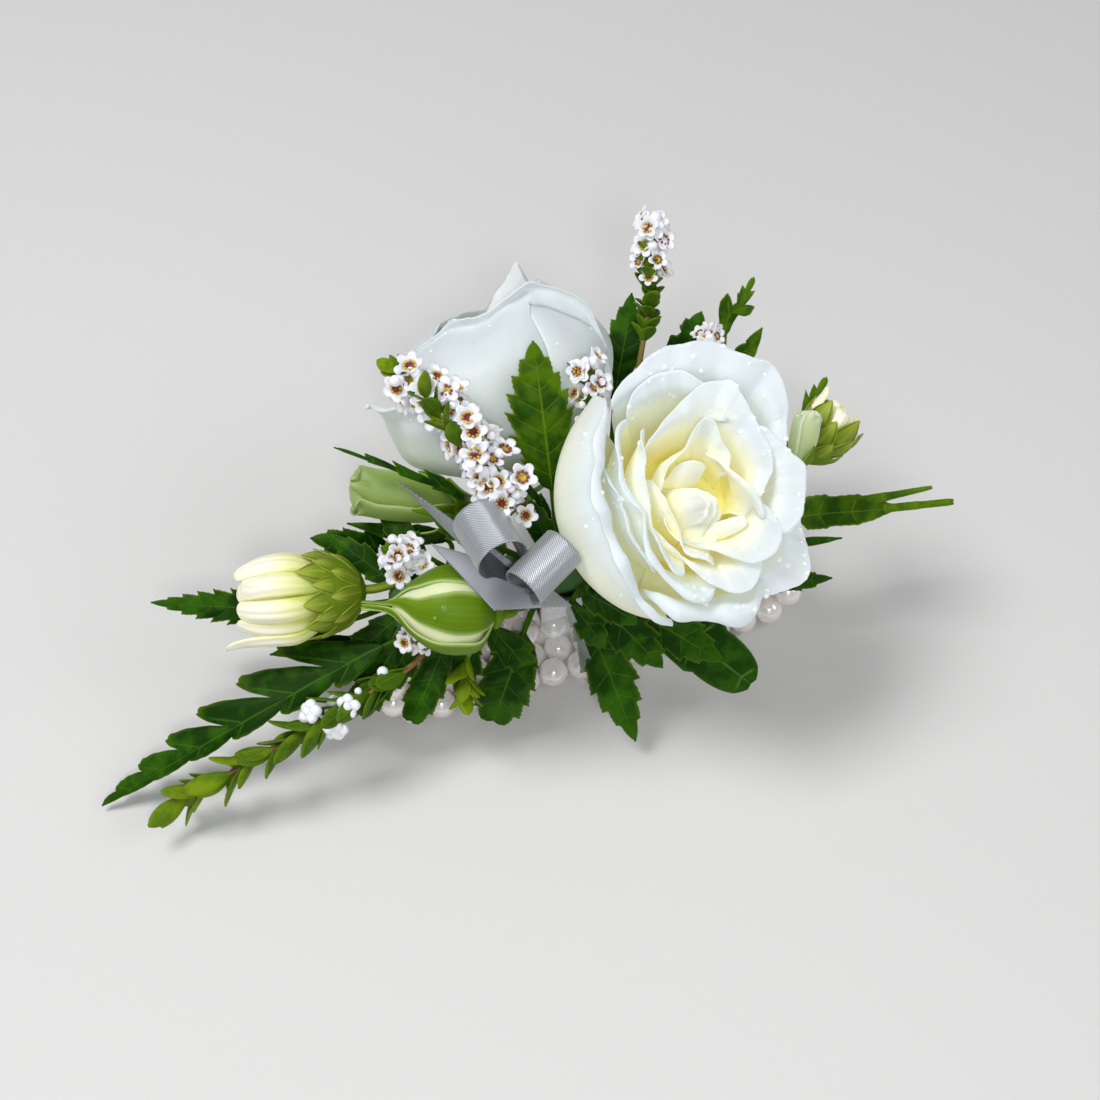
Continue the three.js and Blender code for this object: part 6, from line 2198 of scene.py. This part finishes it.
    def build_knot(self) -> None:
        """The knot: a pleated band round the crossing, and the neck of ribbon down to the bundle."""
        knot = vec(*self.knot)
        foot = bundle_edge(-10, knot)
        up = unit(knot - foot)
        rise = float(np.linalg.norm(knot - foot))
        place = Place(foot, np.stack([*ring_axes(up), up]))
        profile = [
            (1.0, 0.0), (1.2, 0.3 * rise), (1.6, 0.75 * rise), (2.7, rise - 1.2), (3.1, rise + 0.4),
            (2.4, rise + 1.9), (0.8, rise + 2.6),
        ]
        shape = Shape()
        shape.lathe(profile, place, 40, 30, lambda z, angle: 1 + 0.05 * np.cos(9 * angle + 0.2 * z))
        finish_piece("bow_knot", shape, SATIN, "ribbon", ["ribbon_bow"])


# ------------------------------------------------------------------ studio
def world_matrix(axes: Array, at: Array) -> Matrix:
    """The matrix of three axes, one to a column, at a place in metres."""
    return Matrix([[*axes[i], at[i]] for i in range(3)] + [[0, 0, 0, 1]])


@dataclass
class Studio:
    """The floor, the camera at the face of the arrangement, and soft lights."""

    floor_size: float = 12000.0
    lights: tuple[tuple[Triple, float, float], ...] = (
        ((-380, 80, 840), 330, 5.1),
        ((620, -420, 700), 500, 1.5),
        ((-300, -800, 500), 500, 0.5),
        ((-120, -420, 480), 70, 0.9),
    )
    sky: float = 0.27
    sky_colour: Triple = (0.96, 0.97, 1.0)

    def build(self) -> None:
        """Make the floor, camera, lights and surroundings."""
        self.build_floor()
        self.build_camera()
        for k, (at, size, power) in enumerate(self.lights):
            self.build_light(k, at, size, power)
        world = bpy.data.worlds.new("studio")
        world.use_nodes = True
        background = world.node_tree.nodes["Background"]
        Graph(world.node_tree).feed_all(background, Color=self.sky_colour, Strength=self.sky)
        scene = bpy.context.scene
        scene.world = world
        scene.view_settings.view_transform = "Standard"

    def build_floor(self) -> None:
        """A square plane under the pearls."""
        half = self.floor_size / 2 * MM
        mesh = bpy.data.meshes.new("floor")
        corners = [(-half, -half, 0), (half, -half, 0), (half, half, 0), (-half, half, 0)]
        mesh.from_pydata(corners, [], [(0, 1, 2, 3)])
        mesh.materials.append(material_of(FLOOR))
        floor = bpy.data.objects.new("floor", mesh)
        bpy.context.scene.collection.objects.link(floor)

    def build_camera(self) -> None:
        """A camera that looks straight at the face of the arrangement."""
        data = bpy.data.cameras.new("camera")
        data.lens, data.sensor_width = CAMERA_LENS, CAMERA_SENSOR
        data.clip_start, data.clip_end = 0.01, 20.0
        camera = bpy.data.objects.new("camera", data)
        camera.matrix_world = world_matrix(FACE, to_part(vec(0, 0, CAMERA_DISTANCE)) * MM)
        bpy.context.scene.collection.objects.link(camera)
        bpy.context.scene.camera = camera

    def build_light(self, number: int, at: Triple, size: float, power: float) -> None:
        """A square soft light that points at the arrangement.

        Args:
            number: its number.
            at: its place in the part's frame.
            size: its side.
            power: its power in watts.
        """
        data = bpy.data.lights.new(f"soft_light_{number}", "AREA")
        data.size, data.energy = size * MM, power
        light = bpy.data.objects.new(data.name, data)
        z = unit(vec(*at) - FACE_ORIGIN)
        light.matrix_world = world_matrix(np.stack([*ring_axes(z), z], axis=1), vec(*at) * MM)
        bpy.context.scene.collection.objects.link(light)


def main() -> None:
    """Build the corsage piece by piece, then the studio."""
    logging.basicConfig(level=logging.INFO, format="%(message)s")
    Bracelet().build()
    for rose in (ROSE_FRONT, ROSE_BACK):
        rose.build()
    for leaf in LEAVES:
        leaf.build()
    LEAF_BED.build()
    for bud in BUDS:
        bud.build()
    for spray in SPRAYS:
        spray.build()
    Bow().build()
    Studio().build()


if __name__ == "__main__":
    main()
